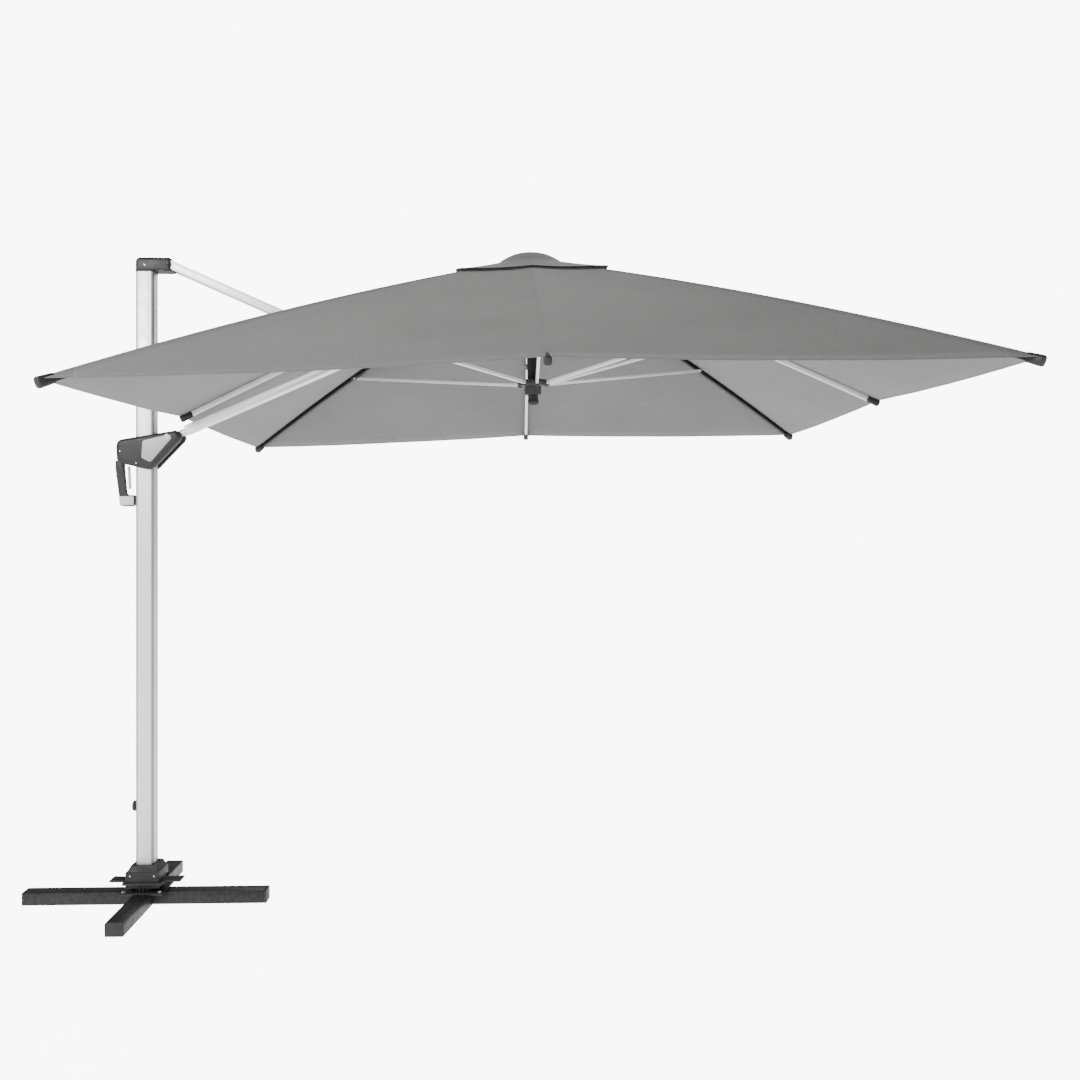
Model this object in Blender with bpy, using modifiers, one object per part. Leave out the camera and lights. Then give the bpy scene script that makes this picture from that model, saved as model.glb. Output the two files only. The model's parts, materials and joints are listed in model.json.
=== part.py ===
"""Cantilever parasol: cross base, swivelling mast, sliding-handle linkage and a folding square canopy.

Metres, Z up. The origin is on the ground at the mast axis, and the boom reaches out along +X.
The linkage is an isosceles pair of arms: the arm pivot on the mast head and the boom heel on the
slider are equally far from the elbow, so the slider stays on the mast through the whole fold.
"""

from math import asin, atan2, cos, hypot, pi, radians, sin, tau

import bmesh
import bpy
from mathutils import Matrix, Vector

# ---------------------------------------------------------------- driving dimensions
GAP = 0.0003                      # clearance between neighbouring solids
RUNNING_GAP = 0.0005              # clearance round something that turns or slides
CUT = 0.2                         # far enough for a cutter to pass right through

# cross base
BEAM_WIDTH = 0.075
BEAM_HEIGHT = 0.055
BEAM_WALL = 0.002
BEAM_REACH_X = 0.499              # from the mast axis to the end of the tube
BEAM_REACH_Y = 0.400
CAP_THICKNESS = 0.012
PLATE_SIZE = 0.180
PLATE_THICKNESS = 0.008
SPIGOT_RADIUS = 0.030
SPIGOT_WALL = 0.004
SPIGOT_TOP = 0.470
RING_RADIUS = 0.064
RING_THICKNESS = 0.0145
RING_TEETH = 24
TOOTH_DEPTH = 0.006

# mast
MAST_WIDTH = 0.075
MAST_WALL = 0.003
MAST_CORNER = 0.010
MAST_BOTTOM = 0.0800
MAST_TOP = 2.680
BUSH_HEIGHT = 0.100
COLLAR_WIDTH = 0.138
COLLAR_TOP_WIDTH = 0.104
COLLAR_SKIRT_TOP = 0.146
COLLAR_TOP = 0.170
PEDAL_LEVEL = 0.098
PEDAL_REACH = 0.152               # from the mast axis to the tip of each tread
PEDAL_BAR = 0.010
PEDAL_PIN = 0.004
TREAD_WIDTH = 0.060
KNOB_HEIGHT = 0.410
KNOB_RADIUS = 0.0225
KNOB_DEPTH = 0.021
HEAD_WALL = 0.006
HEAD_REACH = 0.116
HEAD_TOP = 2.736
HEAD_ROOF = 0.007
HEAD_OVERHANG = 0.001             # on the side away from the canopy

# linkage
ARM_PIVOT = Vector((0.100, 0.0, 2.709))
LINK = 0.907                      # arm pivot to elbow, and boom heel to elbow
BOOM_LENGTH = 1.596               # boom heel to crown pivot
BOOM_SLOPE = radians(23.8)        # rest slope of the boom, and of the arm the other way
BAR_HEIGHT = 0.036
BAR_THICKNESS = 0.010
BAR_OFFSET = 0.033                # centre of each bar from the middle plane
SPACER_FROM = 0.140
SPACER_TO = 0.170
SPACER_HEIGHT = 0.024
BOOM_WIDTH = 0.050
BOOM_HEIGHT = 0.040
BOOM_WALL = 0.0025
HEEL_LENGTH = 0.075               # bare fitting before the tube starts
TONGUE_LENGTH = 0.070
FITTING_INSERT = 0.130
FITTING_WIDTH = 0.042             # boom heel
TONGUE_WIDTH = 0.035              # boom tongue
FITTING_HEIGHT = 0.0344
PIN_RADIUS = 0.006
PIN_HEAD_RADIUS = 0.010
PIN_HEAD_HEIGHT = 0.004

# slider, measured from the boom heel pivot
SHELL_HALF_WIDTH = 0.058
SHELL_NOSE = (0.0, -0.002, 0.026)             # x, z and radius of a round end
SHELL_HEEL = (-0.180, -0.080, 0.034)
SHELL_BELLY = (-0.083, -0.104, 0.036)
LINER_INNER = 0.0390
LINER_OUTER = 0.0410
LINER_HEIGHT = 0.078
LINER_LEVEL = -0.076
HEEL_PIN_HALF = 0.0495
GRIP_TOP = -0.100
GRIP_LEFT = -0.228
GRIP_WIDTH = 0.031
GRIP_DEPTH = 0.034
GRIP_BOTTOM = -0.294
GRIP_HOOK = -0.148                # the hook ends just short of the mast
HOOK_LEVEL = -0.246
LEVER_PIVOT = Vector((-0.176, 0.0, -0.128))
LEVER_LENGTH = 0.088
LEVER_THICKNESS = 0.008
LEVER_WIDTH = 0.018

# canopy
CANOPY_TILT = radians(1.5)        # the far side from the mast sits higher
CANOPY_HALF = 1.500
CORNER_DROP = 0.640               # rib pivot level down to a corner rib tip
SIDE_DROP = 0.608
CROWN_FROM_BOOM = Vector((0.071, 0.0, 0.078))
RIB_PIVOT_RADIUS = 0.120
RIB_WIDTH = 0.014
RIB_HEIGHT = 0.020
CORNER_BOW = 0.026                # how far a sprung rib stands above its chord
SIDE_BOW = 0.012
CROWN_WIRE = 0.0025               # radius of the ring wire the ribs hang on
RUNNER_WIRE = 0.0020
WIRE_PLAY = 0.0004
STRUT_PIVOT_RADIUS = 0.064
STRUT_WIDTH = 0.012
STRUT_HEIGHT = 0.014
STRUT_SIDE_STEP = 0.016           # each strut runs beside its rib
STRUT_BELOW_RIB = 0.008
RUNNER_DROP = 0.489
CORNER_STRUT_AT = 0.5500          # where a strut meets its rib, as a fraction of the rib
SIDE_STRUT_AT = 0.5013            # brings every strut to one folded runner level
POST_RADIUS = 0.022
POST_TOP = 0.056
POST_BOTTOM = -0.575
WHEEL_RADIUS = 0.134              # crown wheel
WHEEL_HALF_HEIGHT = 0.013
CUP_RADIUS = 0.092
CUP_CEILING = 0.032
CROWN_TOP = 0.044
CHEEK_THICKNESS = 0.008
RUNNER_RADIUS = 0.072
RUNNER_HALF_HEIGHT = 0.012
SLEEVE_RADIUS = 0.036
BOOM_NOTCH = 0.032                # half width of the runner's notch for the boom
SLEEVE_BOTTOM = -0.048
FABRIC = 0.0012
FABRIC_ABOVE_RIB = 0.0128
FABRIC_INNER = 0.060              # the vent hole ends at this fraction of each rib
SEAM_GAP = 0.0005
SLIT_FROM = 0.285                 # the arm's slits, as distances from the canopy's centre
SLIT_TO = 0.900
SLIT_PLAY = 0.0015
VENT_HALF = 0.310
VENT_DOME = ((0.044, 0.066), (0.085, 0.053), (0.125, 0.037), (0.153, 0.014))
VENT_TOP = 0.070
VENT_SIDE_Z = -0.050
VENT_CORNER_Z = -0.058

RIBS = (                          # name, azimuth in degrees, is it a corner rib
    ("right", 0, False),
    ("far_right", 45, True),
    ("far", 90, False),
    ("far_left", 135, True),
    ("left", 180, False),
    ("near_left", 225, True),
    ("near", 270, False),
    ("near_right", 315, True),
)


# ---------------------------------------------------------------- scene and materials
def clear_scene():
    for thing in list(bpy.data.objects):
        bpy.data.objects.remove(thing, do_unlink=True)


def new_collection(name):
    collection = bpy.data.collections.new(name)
    bpy.context.scene.collection.children.link(collection)
    return collection


def material(name, grey, roughness, metallic):
    finish = bpy.data.materials.new(name)
    finish.use_nodes = True
    shader = finish.node_tree.nodes["Principled BSDF"]
    shader.inputs["Base Color"].default_value = (*grey, 1.0)
    shader.inputs["Roughness"].default_value = roughness
    shader.inputs["Metallic"].default_value = metallic
    return finish


FINISHES = {
    "alloy": ((0.74, 0.74, 0.75), 0.38, 0.6),
    "steel": ((0.03, 0.03, 0.032), 0.55, 0.2),
    "plastic": ((0.11, 0.115, 0.12), 0.6, 0.0),
    "pale_plastic": ((0.55, 0.56, 0.57), 0.5, 0.0),
    "bright": ((0.6, 0.6, 0.62), 0.25, 1.0),
    "cloth": ((0.2, 0.2, 0.21), 0.9, 0.0),
}


def finish_object(thing, finish, parent=None):
    """Give a piece its own material, its collection and its parent."""
    grey, roughness, metallic = FINISHES[finish]
    thing.data.materials.clear()
    thing.data.materials.append(material(thing.name + "_" + finish, grey, roughness, metallic))
    for collection in list(thing.users_collection):
        collection.objects.unlink(thing)
    PARTS.objects.link(thing)
    thing.parent = parent
    for polygon in thing.data.polygons:
        polygon.use_smooth = False
    return thing


def joint_empty(name, location, rotation_y=0.0, parent=None):
    empty = bpy.data.objects.new(name, None)
    empty.location = location
    empty.rotation_euler = (0.0, rotation_y, 0.0)
    empty.parent = parent
    PARTS.objects.link(empty)
    return empty


# ---------------------------------------------------------------- outlines
def rounded_rectangle(width, height, radius, steps=3):
    points = []
    corners = ((1, 1, 0.0), (-1, 1, pi / 2), (-1, -1, pi), (1, -1, 3 * pi / 2))
    for sign_u, sign_v, start in corners:
        centre_u = sign_u * (width / 2 - radius)
        centre_v = sign_v * (height / 2 - radius)
        for step in range(steps + 1):
            angle = start + step * pi / 2 / steps
            points.append((centre_u + radius * cos(angle), centre_v + radius * sin(angle)))
    return points


def circle(radius, centre=(0.0, 0.0), steps=16):
    angles = [tau * step / steps for step in range(steps)]
    return [(centre[0] + radius * cos(a), centre[1] + radius * sin(a)) for a in angles]


def stadium(start, end, radius, steps=6):
    """A bar with round ends from start to end."""
    heading = atan2(end[1] - start[1], end[0] - start[0])
    points = []
    for centre, first in ((end, heading - pi / 2), (start, heading + pi / 2)):
        for step in range(steps + 1):
            angle = first + pi * step / steps
            points.append((centre[0] + radius * cos(angle), centre[1] + radius * sin(angle)))
    return points


def hull_of_rounds(rounds, steps=6):
    """The outline of a belt around circles (u, v, radius), given anticlockwise."""
    points = []
    for index, (u, v, radius) in enumerate(rounds):
        spans = []
        following = rounds[(index + 1) % len(rounds)]
        for start, end in ((rounds[index - 1], rounds[index]), (rounds[index], following)):
            run = Vector((end[0] - start[0], end[1] - start[1]))
            lean = asin((start[2] - end[2]) / run.length)
            spans.append(atan2(run.y, run.x) - pi / 2 + lean)
        turn = (spans[1] - spans[0]) % tau
        for step in range(steps + 1):
            angle = spans[0] + turn * step / steps
            points.append((u + radius * cos(angle), v + radius * sin(angle)))
    return points


def toothed_outline(radius, teeth, depth):
    low = radius - depth
    points = []
    for tooth in range(teeth):
        for part, level in ((0.0, radius), (0.45, radius), (0.55, low), (0.9, low)):
            angle = tau * (tooth + part) / teeth
            points.append((level * cos(angle), level * sin(angle)))
    return points


# ---------------------------------------------------------------- solids
FACING = {
    "X": Matrix.Rotation(pi / 2, 4, "Z") @ Matrix.Rotation(pi / 2, 4, "X"),   # outline in YZ
    "Y": Matrix.Rotation(pi / 2, 4, "X"),                                       # outline in XZ
    "Z": Matrix.Identity(4),                                                    # outline in XY
}


def mesh_object(name, mesh, finish, parent=None, location=(0.0, 0.0, 0.0)):
    thing = bpy.data.objects.new(name, mesh)
    PARTS.objects.link(thing)
    finish_object(thing, finish, parent)
    thing.location = location
    return thing


def extruded_mesh(name, loops, thickness, axis):
    """A flat outline, with any holes, extruded evenly about its own plane."""
    curve = bpy.data.curves.new(name, "CURVE")
    curve.dimensions = "2D"
    curve.fill_mode = "BOTH"
    curve.extrude = thickness / 2
    for loop in loops:
        spline = curve.splines.new("POLY")
        spline.points.add(len(loop) - 1)
        for point, (u, v) in zip(spline.points, loop):
            point.co = (u, v, 0.0, 1.0)
        spline.use_cyclic_u = True
    guide = bpy.data.objects.new(name + "_outline", curve)
    bpy.context.scene.collection.objects.link(guide)
    bpy.context.view_layer.update()
    evaluated = guide.evaluated_get(bpy.context.evaluated_depsgraph_get())
    mesh = bpy.data.meshes.new_from_object(evaluated)
    bpy.data.objects.remove(guide, do_unlink=True)
    weld_and_turn(mesh, FACING[axis])
    return mesh


def weld_and_turn(mesh, matrix):
    work = bmesh.new()
    work.from_mesh(mesh)
    bmesh.ops.remove_doubles(work, verts=work.verts, dist=0.00001)
    bmesh.ops.transform(work, matrix=matrix, verts=work.verts)
    bmesh.ops.recalc_face_normals(work, faces=work.faces)
    work.to_mesh(mesh)
    work.free()


def extrusion(name, loops, thickness, axis, finish, parent=None, location=(0.0, 0.0, 0.0)):
    mesh = extruded_mesh(name, loops, thickness, axis)
    return mesh_object(name, mesh, finish, parent, location)


def box_mesh(name, low, high):
    low = Vector(low)
    high = Vector(high)
    work = bmesh.new()
    bmesh.ops.create_cube(work, size=1.0)
    bmesh.ops.scale(work, vec=high - low, verts=work.verts)
    bmesh.ops.translate(work, vec=(low + high) / 2, verts=work.verts)
    mesh = bpy.data.meshes.new(name)
    work.to_mesh(mesh)
    work.free()
    return mesh


def box(name, low, high, finish, parent=None, bevel=0.0):
    thing = mesh_object(name, box_mesh(name, low, high), finish, parent)
    if bevel:
        rounding = thing.modifiers.new("edges", "BEVEL")
        rounding.width = bevel
        rounding.segments = 2
    return thing


def turned(name, profile, axis, finish, parent=None, location=(0.0, 0.0, 0.0), steps=24):
    """Sweep a (radius, height) profile around an axis; the profile is closed on itself or on the axis."""
    hollow = min(radius for radius, _ in profile) > 0.0
    mesh = bpy.data.meshes.new(name)
    vertices = [(radius, 0.0, height) for radius, height in profile]
    edges = [(index, index + 1) for index in range(len(profile) - 1)]
    if hollow:
        edges.append((len(profile) - 1, 0))
    mesh.from_pydata(vertices, edges, [])
    thing = mesh_object(name, mesh, finish, parent, location)
    screw = thing.modifiers.new("turn", "SCREW")
    screw.steps = steps
    screw.render_steps = steps
    screw.use_merge_vertices = True
    screw.merge_threshold = 0.00001
    turn = {"X": (0.0, pi / 2, 0.0), "Y": (-pi / 2, 0.0, 0.0), "Z": (0.0, 0.0, 0.0)}
    thing.rotation_euler = turn[axis]
    return thing


def bar(name, points, radius, finish, parent=None, location=(0.0, 0.0, 0.0), cyclic=False, sides=2):
    """A round bar or wire bent through points."""
    curve = bpy.data.curves.new(name, "CURVE")
    curve.dimensions = "3D"
    curve.bevel_depth = radius
    curve.bevel_resolution = sides
    curve.use_fill_caps = not cyclic
    spline = curve.splines.new("POLY")
    spline.points.add(len(points) - 1)
    for point, place in zip(spline.points, points):
        point.co = (*place, 1.0)
    spline.use_cyclic_u = cyclic
    guide = bpy.data.objects.new(name + "_path", curve)
    bpy.context.scene.collection.objects.link(guide)
    bpy.context.view_layer.update()
    evaluated = guide.evaluated_get(bpy.context.evaluated_depsgraph_get())
    mesh = bpy.data.meshes.new_from_object(evaluated)
    bpy.data.objects.remove(guide, do_unlink=True)
    weld_and_turn(mesh, Matrix.Identity(4))
    return mesh_object(name, mesh, finish, parent, location)


def combine(thing, other, operation):
    """Cut other from thing, or join it on, with a modifier; other moves to the cutters."""
    for collection in list(other.users_collection):
        collection.objects.unlink(other)
    CUTTERS.objects.link(other)
    other.hide_render = True
    other.display_type = "WIRE"
    boolean = thing.modifiers.new(operation.lower(), "BOOLEAN")
    boolean.operation = operation
    boolean.solver = "EXACT"
    boolean.object = other
    return thing


def cut_box(thing, low, high, parent=None):
    cutter = box("cutter_" + thing.name, low, high, "steel", parent)
    return combine(thing, cutter, "DIFFERENCE")


def add_box(thing, low, high, parent=None):
    return combine(thing, box("joined_" + thing.name, low, high, "steel", parent), "UNION")


def cut_round(thing, radius, length, axis, parent=None, location=(0.0, 0.0, 0.0), steps=16):
    profile = [(0.0, length / 2), (radius, length / 2), (radius, -length / 2), (0.0, -length / 2)]
    cutter = turned("cutter_" + thing.name, profile, axis, "steel", parent, location, steps)
    return combine(thing, cutter, "DIFFERENCE")


def headed_pin(name, length, finish, parent, location=(0.0, 0.0, 0.0)):
    """A pin along Y with a flat head at each end; length is between the heads."""
    half = length / 2
    top = half + PIN_HEAD_HEIGHT
    profile = [(0.0, top), (PIN_HEAD_RADIUS, top), (PIN_HEAD_RADIUS, half), (PIN_RADIUS, half)]
    profile += [(PIN_RADIUS, -half), (PIN_HEAD_RADIUS, -half), (PIN_HEAD_RADIUS, -top), (0.0, -top)]
    return turned(name, profile, "Y", finish, parent, location, 16)


# ---------------------------------------------------------------- base
def base():
    plate_bottom = BEAM_HEIGHT + GAP
    plate_top = plate_bottom + PLATE_THICKNESS
    outer = rounded_rectangle(BEAM_WIDTH, BEAM_HEIGHT, 0.005, 2)
    inner = rounded_rectangle(BEAM_WIDTH - 2 * BEAM_WALL, BEAM_HEIGHT - 2 * BEAM_WALL, 0.003, 2)
    middle = BEAM_HEIGHT / 2
    extrusion("base_beam_long", [outer, inner], 2 * BEAM_REACH_X, "X", "steel", None, (0, 0, middle))
    short = BEAM_REACH_Y - BEAM_WIDTH / 2 - GAP
    for name, side in (("base_beam_front", -1), ("base_beam_back", 1)):
        place = (0, side * (BEAM_REACH_Y - short / 2), middle)
        extrusion(name, [outer, inner], short, "Y", "steel", None, place)
    step = CAP_THICKNESS / 2 + GAP
    caps = (
        ("end_cap_left", "X", (-BEAM_REACH_X - step, 0, middle)),
        ("end_cap_right", "X", (BEAM_REACH_X + step, 0, middle)),
        ("end_cap_front", "Y", (0, -BEAM_REACH_Y - step, middle)),
        ("end_cap_back", "Y", (0, BEAM_REACH_Y + step, middle)),
    )
    for name, axis, place in caps:
        extrusion(name, [outer], CAP_THICKNESS, axis, "plastic", None, place)
    half = PLATE_SIZE / 2
    box("base_plate", (-half, -half, plate_bottom), (half, half, plate_top), "steel", None, 0.001)
    spigot_bottom = plate_top + GAP
    bore = SPIGOT_RADIUS - SPIGOT_WALL
    profile = [(SPIGOT_RADIUS, SPIGOT_TOP), (SPIGOT_RADIUS, spigot_bottom)]
    profile += [(bore, spigot_bottom), (bore, SPIGOT_TOP)]
    turned("spigot_tube", profile, "Z", "bright")
    ring = [toothed_outline(RING_RADIUS, RING_TEETH, TOOTH_DEPTH)]
    ring.append(circle(SPIGOT_RADIUS + RUNNING_GAP, steps=24))
    ring_middle = spigot_bottom + RING_THICKNESS / 2
    extrusion("locking_ring", ring, RING_THICKNESS, "Z", "steel", None, (0, 0, ring_middle))


# ---------------------------------------------------------------- mast
def collar(swivel):
    bottom = MAST_BOTTOM - 0.0010
    half = COLLAR_WIDTH / 2
    body = box("base_collar", (-half, -half, bottom), (half, half, COLLAR_SKIRT_TOP), "plastic", swivel)
    shoulder = bpy.data.meshes.new("collar_shoulder")
    work = bmesh.new()
    overlap = 0.004
    inset = 0.006
    depth = COLLAR_TOP - COLLAR_SKIRT_TOP + overlap
    diagonal = 2 ** 0.5 / 2
    bmesh.ops.create_cone(
        work, cap_ends=True, segments=4, depth=depth,
        radius1=(COLLAR_WIDTH - inset) * diagonal, radius2=COLLAR_TOP_WIDTH * diagonal,
    )
    bmesh.ops.rotate(work, cent=(0, 0, 0), matrix=Matrix.Rotation(pi / 4, 3, "Z"), verts=work.verts)
    work.to_mesh(shoulder)
    work.free()
    place = (0, 0, COLLAR_TOP - depth / 2)
    combine(body, mesh_object("collar_shoulder", shoulder, "plastic", swivel, place), "UNION")
    channel = MAST_WIDTH / 2 + GAP
    return cut_box(body, (-channel, -channel, 0.0), (channel, channel, CUT), swivel)


def foot_pedal(swivel, collar_body):
    """A rocking frame round the collar with a tread at each end, hinged at its middle."""
    pivot = joint_empty("pedal_hinge", (0.0, 0.0, PEDAL_LEVEL), 0.0, swivel)
    half = PEDAL_BAR / 2
    inside = COLLAR_WIDTH / 2 + RUNNING_GAP
    rocking_gap = 0.003
    length = 2 * (inside + rocking_gap)
    outside = length / 2 + PEDAL_BAR
    outer = rounded_rectangle(2 * outside, 2 * (inside + PEDAL_BAR), 0.008, 2)
    inner = rounded_rectangle(length, 2 * inside, 0.001, 2)
    frame = extrusion("foot_pedal", [outer, inner], 2 * half, "Z", "plastic", pivot)
    for way in (-1, 1):
        profile = [(0.0, half), (PEDAL_PIN, half), (PEDAL_PIN, -half), (0.0, -half)]
        stud = turned("stud", profile, "Y", "plastic", pivot, (0, way * inside, 0), 12)
        combine(frame, stud, "UNION")
        place = (0, way * inside, PEDAL_LEVEL)
        cut_round(collar_body, PEDAL_PIN + GAP, PEDAL_BAR + 0.001, "Y", swivel, place, 12)
    lip = 0.003
    for way in (-1, 1):
        outline = [(way * (outside - lip), -half), (way * (outside - lip), half - lip)]
        outline += [(way * (PEDAL_REACH - 2 * lip), half), (way * PEDAL_REACH, 0.0)]
        outline += [(way * (PEDAL_REACH - 2 * lip), -half)]
        combine(frame, extrusion("tread", [outline], TREAD_WIDTH, "Y", "plastic", pivot), "UNION")


def lock_knob(swivel, mast):
    place = Vector((-MAST_WIDTH / 2, 0.0, KNOB_HEIGHT))
    pivot = joint_empty("knob_axis", place, 0.0, swivel)
    rim = KNOB_RADIUS - 0.003
    back = 0.008
    flange = 0.010
    stem = 0.004
    tip = 0.0028
    profile = [(0.0, -KNOB_DEPTH), (rim, -KNOB_DEPTH), (KNOB_RADIUS, -KNOB_DEPTH + 0.003)]
    profile += [(KNOB_RADIUS, -back), (flange, -back + 0.003), (flange, -RUNNING_GAP)]
    profile += [(stem, -RUNNING_GAP), (stem, tip), (0.0, tip)]
    turned("lock_knob", profile[::-1], "X", "plastic", pivot)
    cut_round(mast, stem + GAP, 0.020, "X", swivel, place)


def mast_head(swivel):
    """A hood over the arm's pivot: its cheeks run outside the twin bars."""
    bars = BAR_OFFSET + BAR_THICKNESS / 2 + RUNNING_GAP
    width = bars + HEAD_WALL
    left = -MAST_WIDTH / 2 - HEAD_OVERHANG
    head = box("mast_head", (left, -width, MAST_TOP + GAP), (HEAD_REACH, width, HEAD_TOP), "plastic", swivel)
    side = MAST_WIDTH - 2 * MAST_WALL - 2 * GAP
    plug = [rounded_rectangle(side, side, MAST_CORNER - MAST_WALL, 3)]
    place = (0, 0, MAST_TOP - 0.025)
    combine(head, extrusion("head_plug", plug, 0.070, "Z", "plastic", swivel, place), "UNION")
    pocket = ARM_PIVOT.x - BAR_HEIGHT / 2 - 0.004
    ceiling = HEAD_TOP - HEAD_ROOF
    lug = BAR_OFFSET - BAR_THICKNESS / 2 - RUNNING_GAP
    for side in (-1, 1):
        low = (pocket, min(side * lug, side * bars), MAST_TOP - 0.1)
        cut_box(head, low, (CUT, max(side * lug, side * bars), ceiling), swivel)
    cut_round(head, PIN_RADIUS + GAP, CUT, "Y", swivel, ARM_PIVOT)


def mast():
    swivel = joint_empty("mast_axis", (0, 0, 0))
    hollow = MAST_WIDTH - 2 * MAST_WALL
    outer = rounded_rectangle(MAST_WIDTH, MAST_WIDTH, MAST_CORNER, 3)
    inner = rounded_rectangle(hollow, hollow, MAST_CORNER - MAST_WALL, 3)
    length = MAST_TOP - MAST_BOTTOM
    middle = (0, 0, (MAST_TOP + MAST_BOTTOM) / 2)
    tube = extrusion("mast_tube", [outer, inner], length, "Z", "alloy", swivel, middle)
    side = hollow - 2 * GAP
    bush = [rounded_rectangle(side, side, MAST_CORNER - MAST_WALL, 3)]
    bush.append(circle(SPIGOT_RADIUS + RUNNING_GAP, steps=24))
    extrusion("swivel_bush", bush, BUSH_HEIGHT, "Z", "plastic", swivel, (0, 0, KNOB_HEIGHT))
    foot_pedal(swivel, collar(swivel))
    lock_knob(swivel, tube)
    mast_head(swivel)
    return swivel


# ---------------------------------------------------------------- linkage
def arm(swivel):
    """Twin bars; local +X runs from the mast head pivot to the elbow."""
    hinge = joint_empty("arm_hinge", ARM_PIVOT, BOOM_SLOPE, swivel)
    loops = [stadium((0, 0), (LINK, 0), BAR_HEIGHT / 2)]
    loops.append(circle(PIN_RADIUS + GAP))
    loops.append(circle(PIN_RADIUS + GAP, (LINK, 0)))
    for name, side in (("arm_bar_near", -1), ("arm_bar_far", 1)):
        extrusion(name, loops, BAR_THICKNESS, "Y", "alloy", hinge, (0, side * BAR_OFFSET, 0))
    half = BAR_OFFSET - BAR_THICKNESS / 2 - GAP
    low = (SPACER_FROM, -half, -SPACER_HEIGHT / 2)
    high = (SPACER_TO, half, SPACER_HEIGHT / 2)
    box("arm_spacer", low, high, "plastic", hinge, 0.002)
    bars = 2 * (BAR_OFFSET + BAR_THICKNESS / 2 + GAP)
    headed_pin("head_pin", bars + 2 * (HEAD_WALL + RUNNING_GAP), "bright", hinge)
    headed_pin("elbow_pin", bars, "bright", hinge, (LINK, 0, 0))


def boom(swivel):
    """Local +X runs up the boom; the origin is at the elbow."""
    elbow = ARM_PIVOT + Vector((LINK * cos(BOOM_SLOPE), 0.0, -LINK * sin(BOOM_SLOPE)))
    hinge = joint_empty("elbow_hinge", elbow, -BOOM_SLOPE, swivel)
    heel = -LINK
    tip = BOOM_LENGTH - LINK
    start = heel + HEEL_LENGTH
    end = tip - TONGUE_LENGTH
    outer = rounded_rectangle(BOOM_WIDTH, BOOM_HEIGHT, 0.006, 2)
    inner = rounded_rectangle(BOOM_WIDTH - 2 * BOOM_WALL, BOOM_HEIGHT - 2 * BOOM_WALL, 0.002, 2)
    place = ((start + end) / 2, 0, 0)
    tube = extrusion("boom_tube", [outer, inner], end - start, "X", "alloy", hinge, place)
    cut_round(tube, PIN_RADIUS + GAP, CUT, "Y", hinge)
    radius = FITTING_HEIGHT / 2
    fittings = (("boom_heel", heel, 1, FITTING_WIDTH), ("boom_tongue", tip, -1, TONGUE_WIDTH))
    for name, centre, way, width in fittings:
        loops = [stadium((centre, 0), (centre + way * FITTING_INSERT, 0), radius)]
        loops.append(circle(PIN_RADIUS + GAP, (centre, 0)))
        extrusion(name, loops, width, "Y", "bright", hinge)
    return hinge


def slider(swivel):
    pivot = ARM_PIVOT - Vector((0.0, 0.0, 2 * LINK * sin(BOOM_SLOPE)))
    hinge = joint_empty("heel_hinge", pivot, 0.0, swivel)
    outline = hull_of_rounds([SHELL_NOSE, SHELL_HEEL, SHELL_BELLY])
    channel = LINER_OUTER + GAP
    mast_x = -pivot.x
    slot = FITTING_WIDTH / 2 + RUNNING_GAP
    socket_side = GRIP_DEPTH / 2 + GAP
    socket_right = GRIP_LEFT + GRIP_WIDTH + GAP
    heel_slot = mast_x + channel - 0.010
    for name, side in (("slider_shell_near", -1), ("slider_shell_far", 1)):
        width = SHELL_HALF_WIDTH - GAP / 2
        place = (0, side * (GAP + width) / 2, 0)
        shell = extrusion(name, [outline], width, "Y", "plastic", hinge, place)
        cut_box(shell, (mast_x - channel, -channel, -CUT), (mast_x + channel, channel, CUT), hinge)
        cut_box(shell, (heel_slot, -slot, -CUT), (CUT, slot, CUT), hinge)
        socket = (socket_right, socket_side, GRIP_TOP + GAP)
        cut_box(shell, (-2 * CUT, -socket_side, -2 * CUT), socket, hinge)
        cut_round(shell, PIN_RADIUS + GAP, 2 * HEEL_PIN_HALF + 0.001, "Y", hinge)
    loops = [rounded_rectangle(2 * LINER_OUTER, 2 * LINER_OUTER, 0.004, 2)]
    loops.append(rounded_rectangle(2 * LINER_INNER, 2 * LINER_INNER, 0.004, 2))
    extrusion("slider_liner", loops, LINER_HEIGHT, "Z", "pale_plastic", hinge, (mast_x, 0, LINER_LEVEL))
    profile = [(0.0, HEEL_PIN_HALF), (PIN_RADIUS, HEEL_PIN_HALF)]
    profile += [(PIN_RADIUS, -HEEL_PIN_HALF), (0.0, -HEEL_PIN_HALF)]
    turned("heel_pin", profile, "Y", "bright", hinge, (0, 0, 0), 16)
    grip(hinge)


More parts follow.
